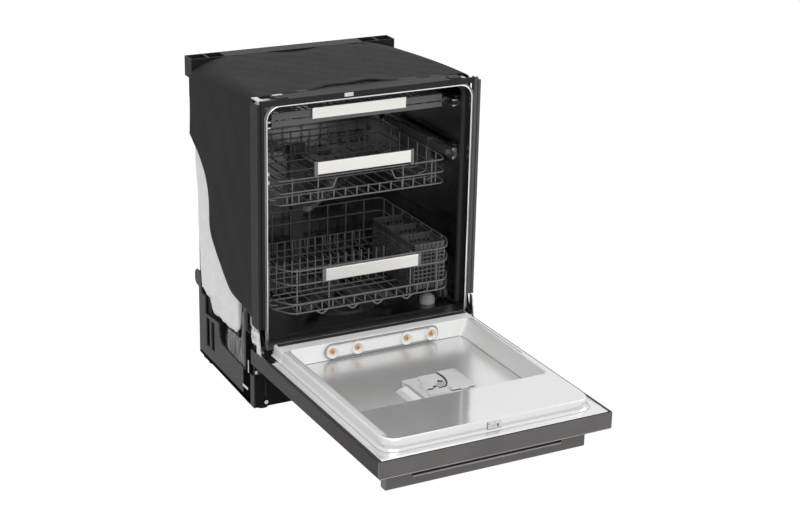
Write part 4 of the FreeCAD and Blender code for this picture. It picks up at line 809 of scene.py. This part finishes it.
liner = {"steps": 9, "flangeHalf": 298.4, "flangeNear": -645.4, "flangeFar": -62, "flange": 181.0,
         "split": -560, "heelHalf": 262, "heel": (-16, 35), "bead": 291.6, "beadNear": -638,
         "rings": [(274.0, -615.4, -12.0, 44, 6, 181.0), (273.2, -614.8, -12.2, 44, 6, 181.5),
                   (271.6, -613.6, -12.6, 43, 6, 184.0), (268.4, -612.2, -13.0, 41, 6, 186.0),
                   (268.0, -612.0, -13.0, 40, 6, 187.0), (267.4, -611.6, -13.2, 40, 6, 202.6),
                   (267.2, -611.4, -13.3, 40, 6, 203.6), (266.5, -610.8, -13.8, 39, 6, 206.2),
                   (264.8, -609.2, -15.0, 38, 6, 208.2), (262.0, -606.6, -17.4, 36, 6, 209.0),
                   (260.8, -605.4, -18.4, 35, 6, 209.0), (251.4, -449.4, -63.0, 17, 17, 209.0),
                   (250.4, -448.4, -64.0, 16, 16, 209.0), (248.6, -446.6, -65.4, 15, 15, 208.3),
                   (247.4, -445.4, -66.0, 14, 14, 206.6), (247.0, -445.0, -66.1, 14, 14, 205.6),
                   (231.6, -429.6, -66.6, 12, 12, 166.2), (231.2, -429.2, -66.7, 12, 12, 165.2),
                   (230.0, -428.0, -67.4, 11, 11, 163.6), (228.0, -426.0, -69.0, 10, 10, 163.0),
                   (227.0, -425.0, -70.0, 10, 10, 163.0)]}


def makeLiner(d):
    # every ring has the same corners, so each joins the next point for point; the last closes the floor
    rings = []
    for half, near, far, nearRound, farRound, z in d["rings"]:
        corners = [(-half, near, z), (half, near, z), (half, far, z), (-half, far, z)]
        rings.append(bentPath(corners, [nearRound, nearRound, farRound, farRound], d["steps"], closed=True))
    count = len(rings[0])
    last = (len(rings) - 1) * count
    shell = np.vstack(rings), [gridFaces(len(rings), count, False, True), last + np.arange(count)[None, :]]
    outer, inner, z = d["flangeHalf"], d["rings"][0][0] - 3, d["flange"]
    far, split, bead, heel = d["flangeFar"], d["split"], d["bead"], d["heelHalf"]
    sides = mirrored([bar(inner, outer, split - 1, far, z - 1.3, z - 0.04, 0.5, axis=1, edge=0.4),
                      tube([(bead, d["beadNear"], z + 0.3), (bead, far - 2, z + 0.3)], 0.9, upRight)])
    return sides + [shell, bar(-outer, outer, d["flangeNear"], split, z - 1.2, z, 0.5, axis=0, edge=0.4),
                    bar(-heel, heel, *d["heel"], z - 1.2, z, 0.5, axis=0, edge=0.4)]


makePiece("linerShell", makeLiner(liner), linerSteel, "door", "door_liner", instead=True)

# lines on the liner: seals on the side flanges and by the hinges, the seam round its foot, the seam round the
# floor and one along the right rim

seals = {"side": (293.4, 300.6, -641, -63, 181.05, 181.9), "hinge": (-262, 262, -36, -19, 209.02, 209.6)}
sideSeal = bar(*seals["side"], 0.3, axis=1, edge=0.25)
hingeSeal = bar(*seals["hinge"], 0.25, axis=0, edge=0.2)
makePiece("edgeSeals", mirrored([sideSeal]) + [hingeSeal], blackRubber, "door", "door_liner")

footSeam = {"half": 275, "near": -616.6, "far": -64, "z": 180.9, "bend": 44, "wire": 0.6}
floorSeam = {"half": 230.4, "near": -428.4, "far": -67.4, "z": 163.6, "bend": 11, "wire": 1.1}
rimSeam = {"x": 255.5, "y": (-70, -318), "z": 209.2, "wire": 0.7}


def makeSeam(s, closed=False):
    # down the left, along the near side and up the right, and along the far side too where it closes
    half, near, far = s["half"], s["near"], s["far"]
    corners = [(-half, far), (-half, near), (half, near), (half, far)]
    return tube(levelPath(corners, s["z"], s["bend"], 9, closed), s["wire"], upRight, closed=closed)


makePiece("footLine", makeSeam(footSeam), grooveGrey, "door", "door_liner")
rimLine = tube([(rimSeam["x"], y, rimSeam["z"]) for y in rimSeam["y"]], rimSeam["wire"], upRight)
makePiece("floorLine", [makeSeam(floorSeam, closed=True), rimLine], grooveGrey, "door", "door_liner")

# hinges: two covers and a screw on the door, a housing and two gussets on the cabinet, the same on both sides

hinge = {"covers": ((269.5, 282.6), (288.6, 296.6)), "coverY": (-64, -14), "coverZ": (171, 177.5),
         "screw": (276.5, -52, 177.4), "screwHead": [(4.4, 0), (4.2, 1.2), (3.0, 2.0), (1.0, 2.2)],
         "housing": (263.8, 283.2, -10, 36, 160, 183), "stay": (276.4, 284, 37, 40, 181, 246),
         "gusset": [(287.4, 196), (296.8, 196), (296.8, 204), (290, 245), (287.4, 245)], "gussetY": (8, 10)}
hingeCovers = [bar(*x, *hinge["coverY"], *hinge["coverZ"], 1.6, axis=0) for x in hinge["covers"]]
coverScrew = turned(hinge["screwHead"], hinge["screw"], 2, 20)
hingeHousing = bar(*hinge["housing"], 2.5, axis=0)
gussets = [bar(*hinge["stay"], 0.8), slab(hinge["gusset"], *hinge["gussetY"], 1, 0.3)]
makePiece("hingeCovers", mirrored(hingeCovers), blackPlastic, "door", "door_liner")
makePiece("coverScrews", mirrored([coverScrew]), zincPlate, "door", "door_liner")
makePiece("hingeHousings", mirrored([hingeHousing]), blackPlastic, "cabinet", "hinge_brackets")
makePiece("hingeGussets", mirrored(gussets), blackAndPaintedShade, "cabinet", "hinge_brackets")


# dispenser: the lid, the turning cap, the white ramp and the grooves beside it

lid = {"edge": [(97, -374), (97, -290), (97, -267), (48, -267), (52, -292), (46, -326), (30, -352),
                (30, -374)],
       "rounds": [4, 2, 17, 3, 14, 14, 12, 3], "z": (175.3, 179.0),
       "rib": [(92, -368), (92, -279), (84, -272)], "pull": (54, 76, -379.4, -374),
       "step": (33, 53, -372, -362)}


def makeLid(d):
    # a plate with a curved left edge, a rib along its right side, a pull on the near edge and a step by it
    z0, z1 = d["z"]
    return [slab(planOutline(d["edge"], d["rounds"]), z0, z1, 2, 1.0),
            tube(levelPath(d["rib"], z1, 10), 0.9, upRight),
            bar(*d["pull"], z0, z1 - 0.6, 0.8, axis=0),
            bar(*d["step"], z1 - 0.4, z1 + 1.4, 0.6, axis=0)]


makePiece("lidPlate", makeLid(lid), palePlastic, "detergent_lid", "detergent_lid", instead=True)

cap = {"x": -13, "y": -328, "z": 175.3, "r": 16,
       "grip": [(-12, -8), (4, -9), (15, -3), (15, 5), (2, 3), (-12, 1)]}


def makeCap(c):
    # a low disc with a tapering lever across it
    x, y, z, r = (c[k] for k in ("x", "y", "z", "r"))
    disc = turned([(r, 0), (r, 1.4), (r - 0.8, 2.0), (3, 2.1)], (x, y, z), 2, 40)
    edge = np.array(c["grip"]) + (x, y)
    return [disc, slab(planOutline(edge, 3), z + 1.8, z + 5.4, 2, 0.8)]


makePiece("capGrip", makeCap(cap), palePlastic, "rinse_cap", "rinse_cap", instead=True)

# round the lid: the ramp, the top face, two straight seams and one under the pull, a dark gap line, the
# lever's painted shadows and a lever

ramp = {"section": [(-70, 169.0), (-54.4, 174.0), (-54.4, 174.8), (-70, 169.8)], "y": (-380, -306)}
makePiece("rampFace", slab(ramp["section"], *ramp["y"], 1, 0.2), glossWhite, "door", "dispenser")

ledge = {"edge": [(-31, -379), (25, -379), (42, -330), (47, -296), (44, -270), (-8, -270)],
         "rounds": [4, 3, 12, 12, 3, 6], "z": (175.1, 176.4)}
ledgePlate = slab(planOutline(ledge["edge"], ledge["rounds"]), *ledge["z"], 2, 0.9)
makePiece("dispenserTop", ledgePlate, palePlastic, "door", "dispenser")

seams = {"straight": ((-52.4, -51.0, -383, -290), (-48.4, -46.8, -383, -296)), "z": (174.6, 175.6),
         "pull": [(54, -379.8, 175.6), (76, -379.8, 175.6)], "wire": 0.9}
seamShapes = [bar(*line, *seams["z"], 0.3, axis=1, edge=0.2) for line in seams["straight"]]
seamShapes.append(tube(seams["pull"], seams["wire"], upRight))
makePiece("dispenserSeams", seamShapes, grooveGrey, "door", "dispenser")

gapsAndShadows = {"hook": [(45.6, -271), (49.4, -292), (43.4, -327), (28, -350), (10, -350)], "hookZ": 176.6,
        "wire": 1.5, "low": 176.3,
        "shadowPatches": [([(22, -318), (33, -324), (38, -319), (27, -309)], 177.4),
                   ([(-20, -350), (-5, -351), (-4, -345), (-19, -344)], 177.4),
                   ([(-2, -344), (7, -342), (8, -335), (0, -336)], 177.6)]}
# painted shadows: dark patches along the lever's edge and at its near side, and a dark gap line round the
# hook
gapAndShadowShapes = [slab(planOutline(edge, 2), gapsAndShadows["low"], high, 2, 0.3) for edge, high in gapsAndShadows["shadowPatches"]]
gapAndShadowShapes.append(tube(levelPath(gapsAndShadows["hook"], gapsAndShadows["hookZ"], 12), gapsAndShadows["wire"], upRight))
makePiece("dispenserGapsAndShadows", gapAndShadowShapes, gapAndShadowDark, "door", "dispenser")

lever = {"edge": [(8, -346), (26, -348), (38, -334), (36, -326), (22, -322), (9, -334)], "z": (176.3, 178.6)}
leverPlate = slab(planOutline(lever["edge"], 4), *lever["z"], 2, 0.8)
makePiece("dispenserLever", leverPlate, leverGrey, "door", "dispenser")
print("door fittings made")


# door edge: painted highlights under the strip and on the slot's lip, painted shade in the handle, and the
# keeper's frame with painted shade for a hole

doorEdge = {"underStrip": (-300, 300, -645.9, -643.6, 138.6, 141.0),
            "slotLip": (-194, 194, -602.2, -599, 102.8, 107.2),
            "shade": (-259, 259, -600.5, -599.2, 111, 122)}
# painted highlights: a light line along the strip's lower edge and on the lit face of the slot's lip
highlightLines = [bar(*doorEdge["underStrip"], 0.5, axis=0, edge=0.3), bar(*doorEdge["slotLip"], 1.0, axis=0)]
makePiece("highlightLines", highlightLines, highlightPaint, "door", "control_strip")
# painted shade: a darker band across the handle between the slot's lip and the strip
handleShade = bar(*doorEdge["shade"], 0.4, axis=0, edge=0.3)
makePiece("handleShade", handleShade, paintedShadeDark, "door", "door_handle")

keeper = {"x": (-12, 23), "z": (186.6, 203.6), "y": (-613.1, -612.1), "slot": (-6.6, 6.6, 191),
          "leftLine": (-13.4, -12.2, -613.1, -612.05, 186, 204.2), "holeShade": (11, 17, -613.2, -613.0, 189, 197),
          "lowLine": (-13.4, 23.4, -613.1, -612.05, 185.2, 186.4),
          "dots": ((-10.4, -613.05, 199), (-7.8, -613.05, 199)), "dot": [(1.0, 0), (1.0, -0.1), (0.4, -0.14)]}


def makeKeeper(k):
    # a thin plate round the bolt's slot, open at the top, and a thinner skin behind the slot
    (x0, x1), (z0, z1), (y0, y1), (a, b, c) = k["x"], k["z"], k["y"], k["slot"]
    return [bar(x0, a, y0, y1, z0, z1, 0.4, edge=0.3), bar(b, x1, y0, y1, z0, z1, 0.4, edge=0.3),
            bar(a - 0.5, b + 0.5, y0, y1, z0, c, 0.4, axis=0, edge=0.3),
            bar(a - 0.5, b + 0.5, y1 - 0.2, y1, c - 0.5, z1, 0.08, axis=0, edge=0.05)]


makePiece("keeperPlate", makeKeeper(keeper), palePlastic, "door", "latch_keeper", instead=True)
# the keeper's frame lines, and painted shade for a hole at the plate's right
keeperEdge = [bar(*keeper["leftLine"], 0.3, edge=0.2), bar(*keeper["lowLine"], 0.3, axis=0, edge=0.2),
              bar(*keeper["holeShade"], 0.08, edge=0.05)]
keeperEdge += [turned(keeper["dot"], at, 1, 12) for at in keeper["dots"]]
makePiece("keeperEdge", keeperEdge, grooveGrey, "door", "latch_keeper")


# third tray: walls, lattice floor, combs and a front with a slot beside the handle

tray = {"half": 234, "front": 70, "back": 418, "low": 730, "high": 764, "wall": 3, "slot": (744, 746.4),
        "panel": 128, "runner": (234, 261, 84, 418, 740.3, 749.7), "fins": (150, 182, 214),
        "combs": (-150, -62, 62, 150), "combPitch": 24, "ribs": np.arange(-216, 217, 18), "crossPitch": 21}


def makeTray(t):
    # walls, runners and fins, a floor of ribs that cross at even pitches, and rows of combs on it
    half, front, back, low, high, wall = (t[k] for k in ("half", "front", "back", "low", "high", "wall"))
    slotLow, slotHigh = t["slot"]
    inner = half - wall
    shapes = [bar(-half, half, back - wall, back, low, high, 1.2, axis=0),
              bar(-half, half, front, front + wall, low, slotLow, 1.2, axis=0),
              bar(-t["panel"], t["panel"], front + 0.4, front + wall, slotLow - 1, high - 3, 1.0, axis=0)]
    sides = [bar(inner, half, front, back, low, high, 1.2, axis=1), bar(*t["runner"], 1.2, axis=1),
             bar(t["panel"], half, front, front + wall, slotHigh, high, 1.2, axis=0)]
    for x in t["fins"]:
        sides.append(bar(x - 1.6, x + 1.6, front - 0.4, front + wall, slotLow - 4, slotHigh + 3, 0.6))
    shapes += mirrored(sides)
    for x in t["ribs"]:
        shapes.append(bar(x - 1.3, x + 1.3, front + 1, back - 1, low, low + 2.6, 0.6, axis=1))
    for y in np.arange(front + 16, back - 8, t["crossPitch"]):
        shapes.append(bar(-inner, inner, y - 1.3, y + 1.3, low + 0.2, low + 2.8, 0.6, axis=0))
    for x in t["combs"]:
        for y in np.arange(front + 30, back - 20, t["combPitch"]):
            shapes.append(bar(x - 15, x + 15, y - 1.2, y + 1.2, low + 2, low + 19, 0.6))
    return shapes


makePiece("trayLattice", makeTray(tray), trayPlastic, "third_rack", "third_rack", instead=True)
print("third tray made")


# front frame: the bright bead round the opening, the trim's back edge, a black strip of painted shade under
# the mat's edge and the plated bits on top

rim = {"half": 275.6, "top": 801.6, "corner": 34, "low": 212, "y": -0.5, "wire": 1.9}


def makeRimBead(r):
    # up the left, a quarter circle, across, a quarter circle and down the right
    turn = np.linspace(0, math.pi / 2, 12)
    arcX = -r["half"] + r["corner"] * (1 - np.cos(turn))
    arcZ = r["top"] - r["corner"] * (1 - np.sin(turn))
    x = np.concatenate([[-r["half"]], arcX, -arcX[::-1], [r["half"]]])
    z = np.concatenate([[r["low"]], arcZ, arcZ[::-1], [r["low"]]])
    return tube(np.stack([x, np.full_like(x, r["y"]), z], -1), r["wire"], alongY)


makePiece("rimBead", makeRimBead(rim), rimSteel, "cabinet", "tub")

trim = {"back": (-252, 252, 41.5, 60, 816.6, 818), "shadeUnderMat": (-172, 134, 55, 67, 809.8, 812.6),
        "cornerPlate": (-298.5, -283, 2, 38, 818.1, 819.4), "tab": (-245, -219, 31.5, 41, 818.1, 819.5),
        "catch": (-75, -51, -2.9, -1.9, 807, 816.5)}
makePiece("trimBack", bar(*trim["back"], 0.5, axis=0, edge=0.3), columnPaint, "cabinet", "top_trim")
# painted shade: a black strip fills the gap under the mat's lifted front edge
makePiece("matEdgeShadeStrip", bar(*trim["shadeUnderMat"], 0.8, axis=0), blackRubber, "cabinet", "top_trim")
plated = [bar(*trim["cornerPlate"], 0.5, edge=0.3), bar(*trim["tab"], 0.5, edge=0.3),
          bar(*trim["catch"], 0.4, axis=0, edge=0.3)]
makePiece("platedBits", plated, zincPlate, "cabinet", "counter_brackets")


# base sides: painted shade for the recess ahead of the wall and along the foot, and the plated clips

base = {"recess": [(86, 14), (128, 15), (128, 93), (109, 92), (109, 203), (66, 203), (66, 96), (86, 96)],
        "footBand": [(86, 9.6), (416, 26.4), (416, 33), (86, 23)], "skin": (285.6, 286.8),
        "frontClip": (258, 282, 64.5, 67, 99, 109), "tallClip": (286.4, 287.8, 91, 96, 94, 128),
        "lowClip": (286.4, 287.8, 98, 130, 44, 51)}
# painted shade: flat black patches on the sides where the recess and the channel along the foot lie in shadow
baseShadePatches = [slab(base[k], *base["skin"], 0, 0.2) for k in ("recess", "footBand")]
baseClips = [bar(*base["frontClip"], 1.0, axis=0), bar(*base["tallClip"], 0.5, edge=0.3),
             bar(*base["lowClip"], 0.5, axis=1, edge=0.3)]
makePiece("baseShadePatches", mirrored(baseShadePatches), blackAndPaintedShade, "cabinet", "base_pan")
makePiece("baseClips", mirrored(baseClips), zincPlate, "cabinet", "base_pan")


# hinge film: a crumpled clear sheet over the left hinge

film = {"x": -292.4, "y": (16, 58), "z": (192, 246)}


def makeFilm(f):
    # a flat grid pushed in and out by ridges that run up and down
    y, z = np.meshgrid(np.linspace(*f["y"], 34), np.linspace(*f["z"], 30), indexing="ij")
    x = f["x"] + ripple(y / 10, z / 10, [(1.2, 0.9, 0.12, 0.3), (0.7, 1.7, -0.2, 1.4), (0.4, 3.1, 0.5, 2.2)])
    return np.stack([x, y, z], -1)


filmGrid = makeFilm(film)
filmPiece = makePiece("hingeFilm", openSheet(filmGrid), clearFilm, "cabinet", "hinge_brackets", smooth=0)
print("front frame made")


# studio: camera, lamps, world and floor

view = {"turn": -29.13, "rise": 20.84, "roll": 1.56, "at": (-1.952, -3.7106, 1.9712), "lens": 82.78,
        "shift": (-0.0329, 0.01075)}


def stand(name, data, right, up, back, at):
    # the item looks along minus back, with right and up across its view
    item = bpy.data.objects.new(name, data)
    turn = np.eye(4)
    turn[:3] = np.stack([right, up, back, at], 1)
    item.matrix_world = Matrix(turn.tolist())
    bpy.context.scene.collection.objects.link(item)
    return item


def makeCamera(v):
    # turn and rise give the direction back from the view, and roll tilts right and up about it
    a, e, r = (math.radians(v[k]) for k in ("turn", "rise", "roll"))
    back = np.array([math.sin(a) * math.cos(e), -math.cos(a) * math.cos(e), math.sin(e)])
    right = np.array([math.cos(a), math.sin(a), 0])
    up = np.cross(back, right)
    tilted = right * math.cos(r) + up * math.sin(r)
    upright = -right * math.sin(r) + up * math.cos(r)
    data = bpy.data.cameras.new("camera")
    data.lens = v["lens"]
    data.sensor_width = 36
    data.shift_x, data.shift_y = v["shift"]
    bpy.context.scene.camera = stand("camera", data, tilted, upright, back, v["at"])


# each lamp's place, the point it is aimed at, its size and its power
lamps = {"key": ((-0.8, -3.0, 3.0), (0, 0, 0.4), 3.0, 56), "fill": ((3.2, -1.6, 2.4), (0, 0, 0.4), 2.5, 20),
         "top": ((0.2, 1.0, 3.6), (0, 0, 0.5), 3.0, 26)}
backdrop = {"plain": 0.6, "seen": 1.02}
paperFloor = {"reach": 9.0, "glow": 1.06, "share": 0.94}


def makeLamp(name, at, towards, size, power):
    # a square lamp that faces the point it is aimed at
    data = bpy.data.lights.new(name, "AREA")
    data.shape = "SQUARE"
    data.size = size
    data.energy = power
    away = unit(np.array(at, float) - towards)
    right = unit(np.cross((0, 0, 1), away))
    stand(name, data, right, np.cross(away, right), away, at)


def seenDirectly(tree):
    # 1 where the camera, a gloss or a clear piece looks straight at it, 0 for its light on the object
    path = add(tree, "LightPath").outputs
    clear = mathOf("MAXIMUM", path["Is Glossy Ray"], path["Is Transmission Ray"])
    return mathOf("MAXIMUM", path["Is Camera Ray"], clear)


def makeWorld(light):
    # white where it is seen, plain where it lights the object
    world = bpy.data.worlds.new("studio")
    world.use_nodes = True
    tree = world.node_tree
    strength = spread(seenDirectly(tree), light["plain"], light["seen"], 0, 1)
    feed(tree.nodes["Background"], Color=(1, 1, 1, 1), Strength=strength)
    bpy.context.scene.world = world


def makeFloor(ground):
    # a square that glows white where it is seen, mixed with paper that keeps the shadow
    reach = ground["reach"]
    mesh = bpy.data.meshes.new("studioFloor")
    corners = [(-reach, -reach, 0), (reach, -reach, 0), (reach, reach, 0), (-reach, reach, 0)]
    mesh.from_pydata(corners, [], [(0, 1, 2, 3)])
    floor = bpy.data.objects.new("studioFloor", mesh)
    bpy.context.scene.collection.objects.link(floor)
    paper = bpy.data.materials.new("paper")
    paper.use_nodes = True
    tree = paper.node_tree
    shader = feed(tree.nodes["Principled BSDF"], Base_Color=(0.9, 0.9, 0.9, 1), Roughness=0.9)
    glow, mix = add(tree, "Emission", Strength=ground["glow"]), add(tree, "MixShader")
    share = spread(seenDirectly(tree), 0, ground["share"], 0, 1)
    for socket, value in zip(mix.inputs, (share, shader.outputs[0], glow.outputs[0])):
        plug(socket, value)
    feed(tree.nodes["Material Output"], Surface=mix.outputs[0])
    mesh.materials.append(paper)


makeCamera(view)
for lampName, settings in lamps.items():
    makeLamp(lampName, *settings)
makeWorld(backdrop)
makeFloor(paperFloor)
bpy.context.scene.view_settings.view_transform = "Standard"
print("studio ready")
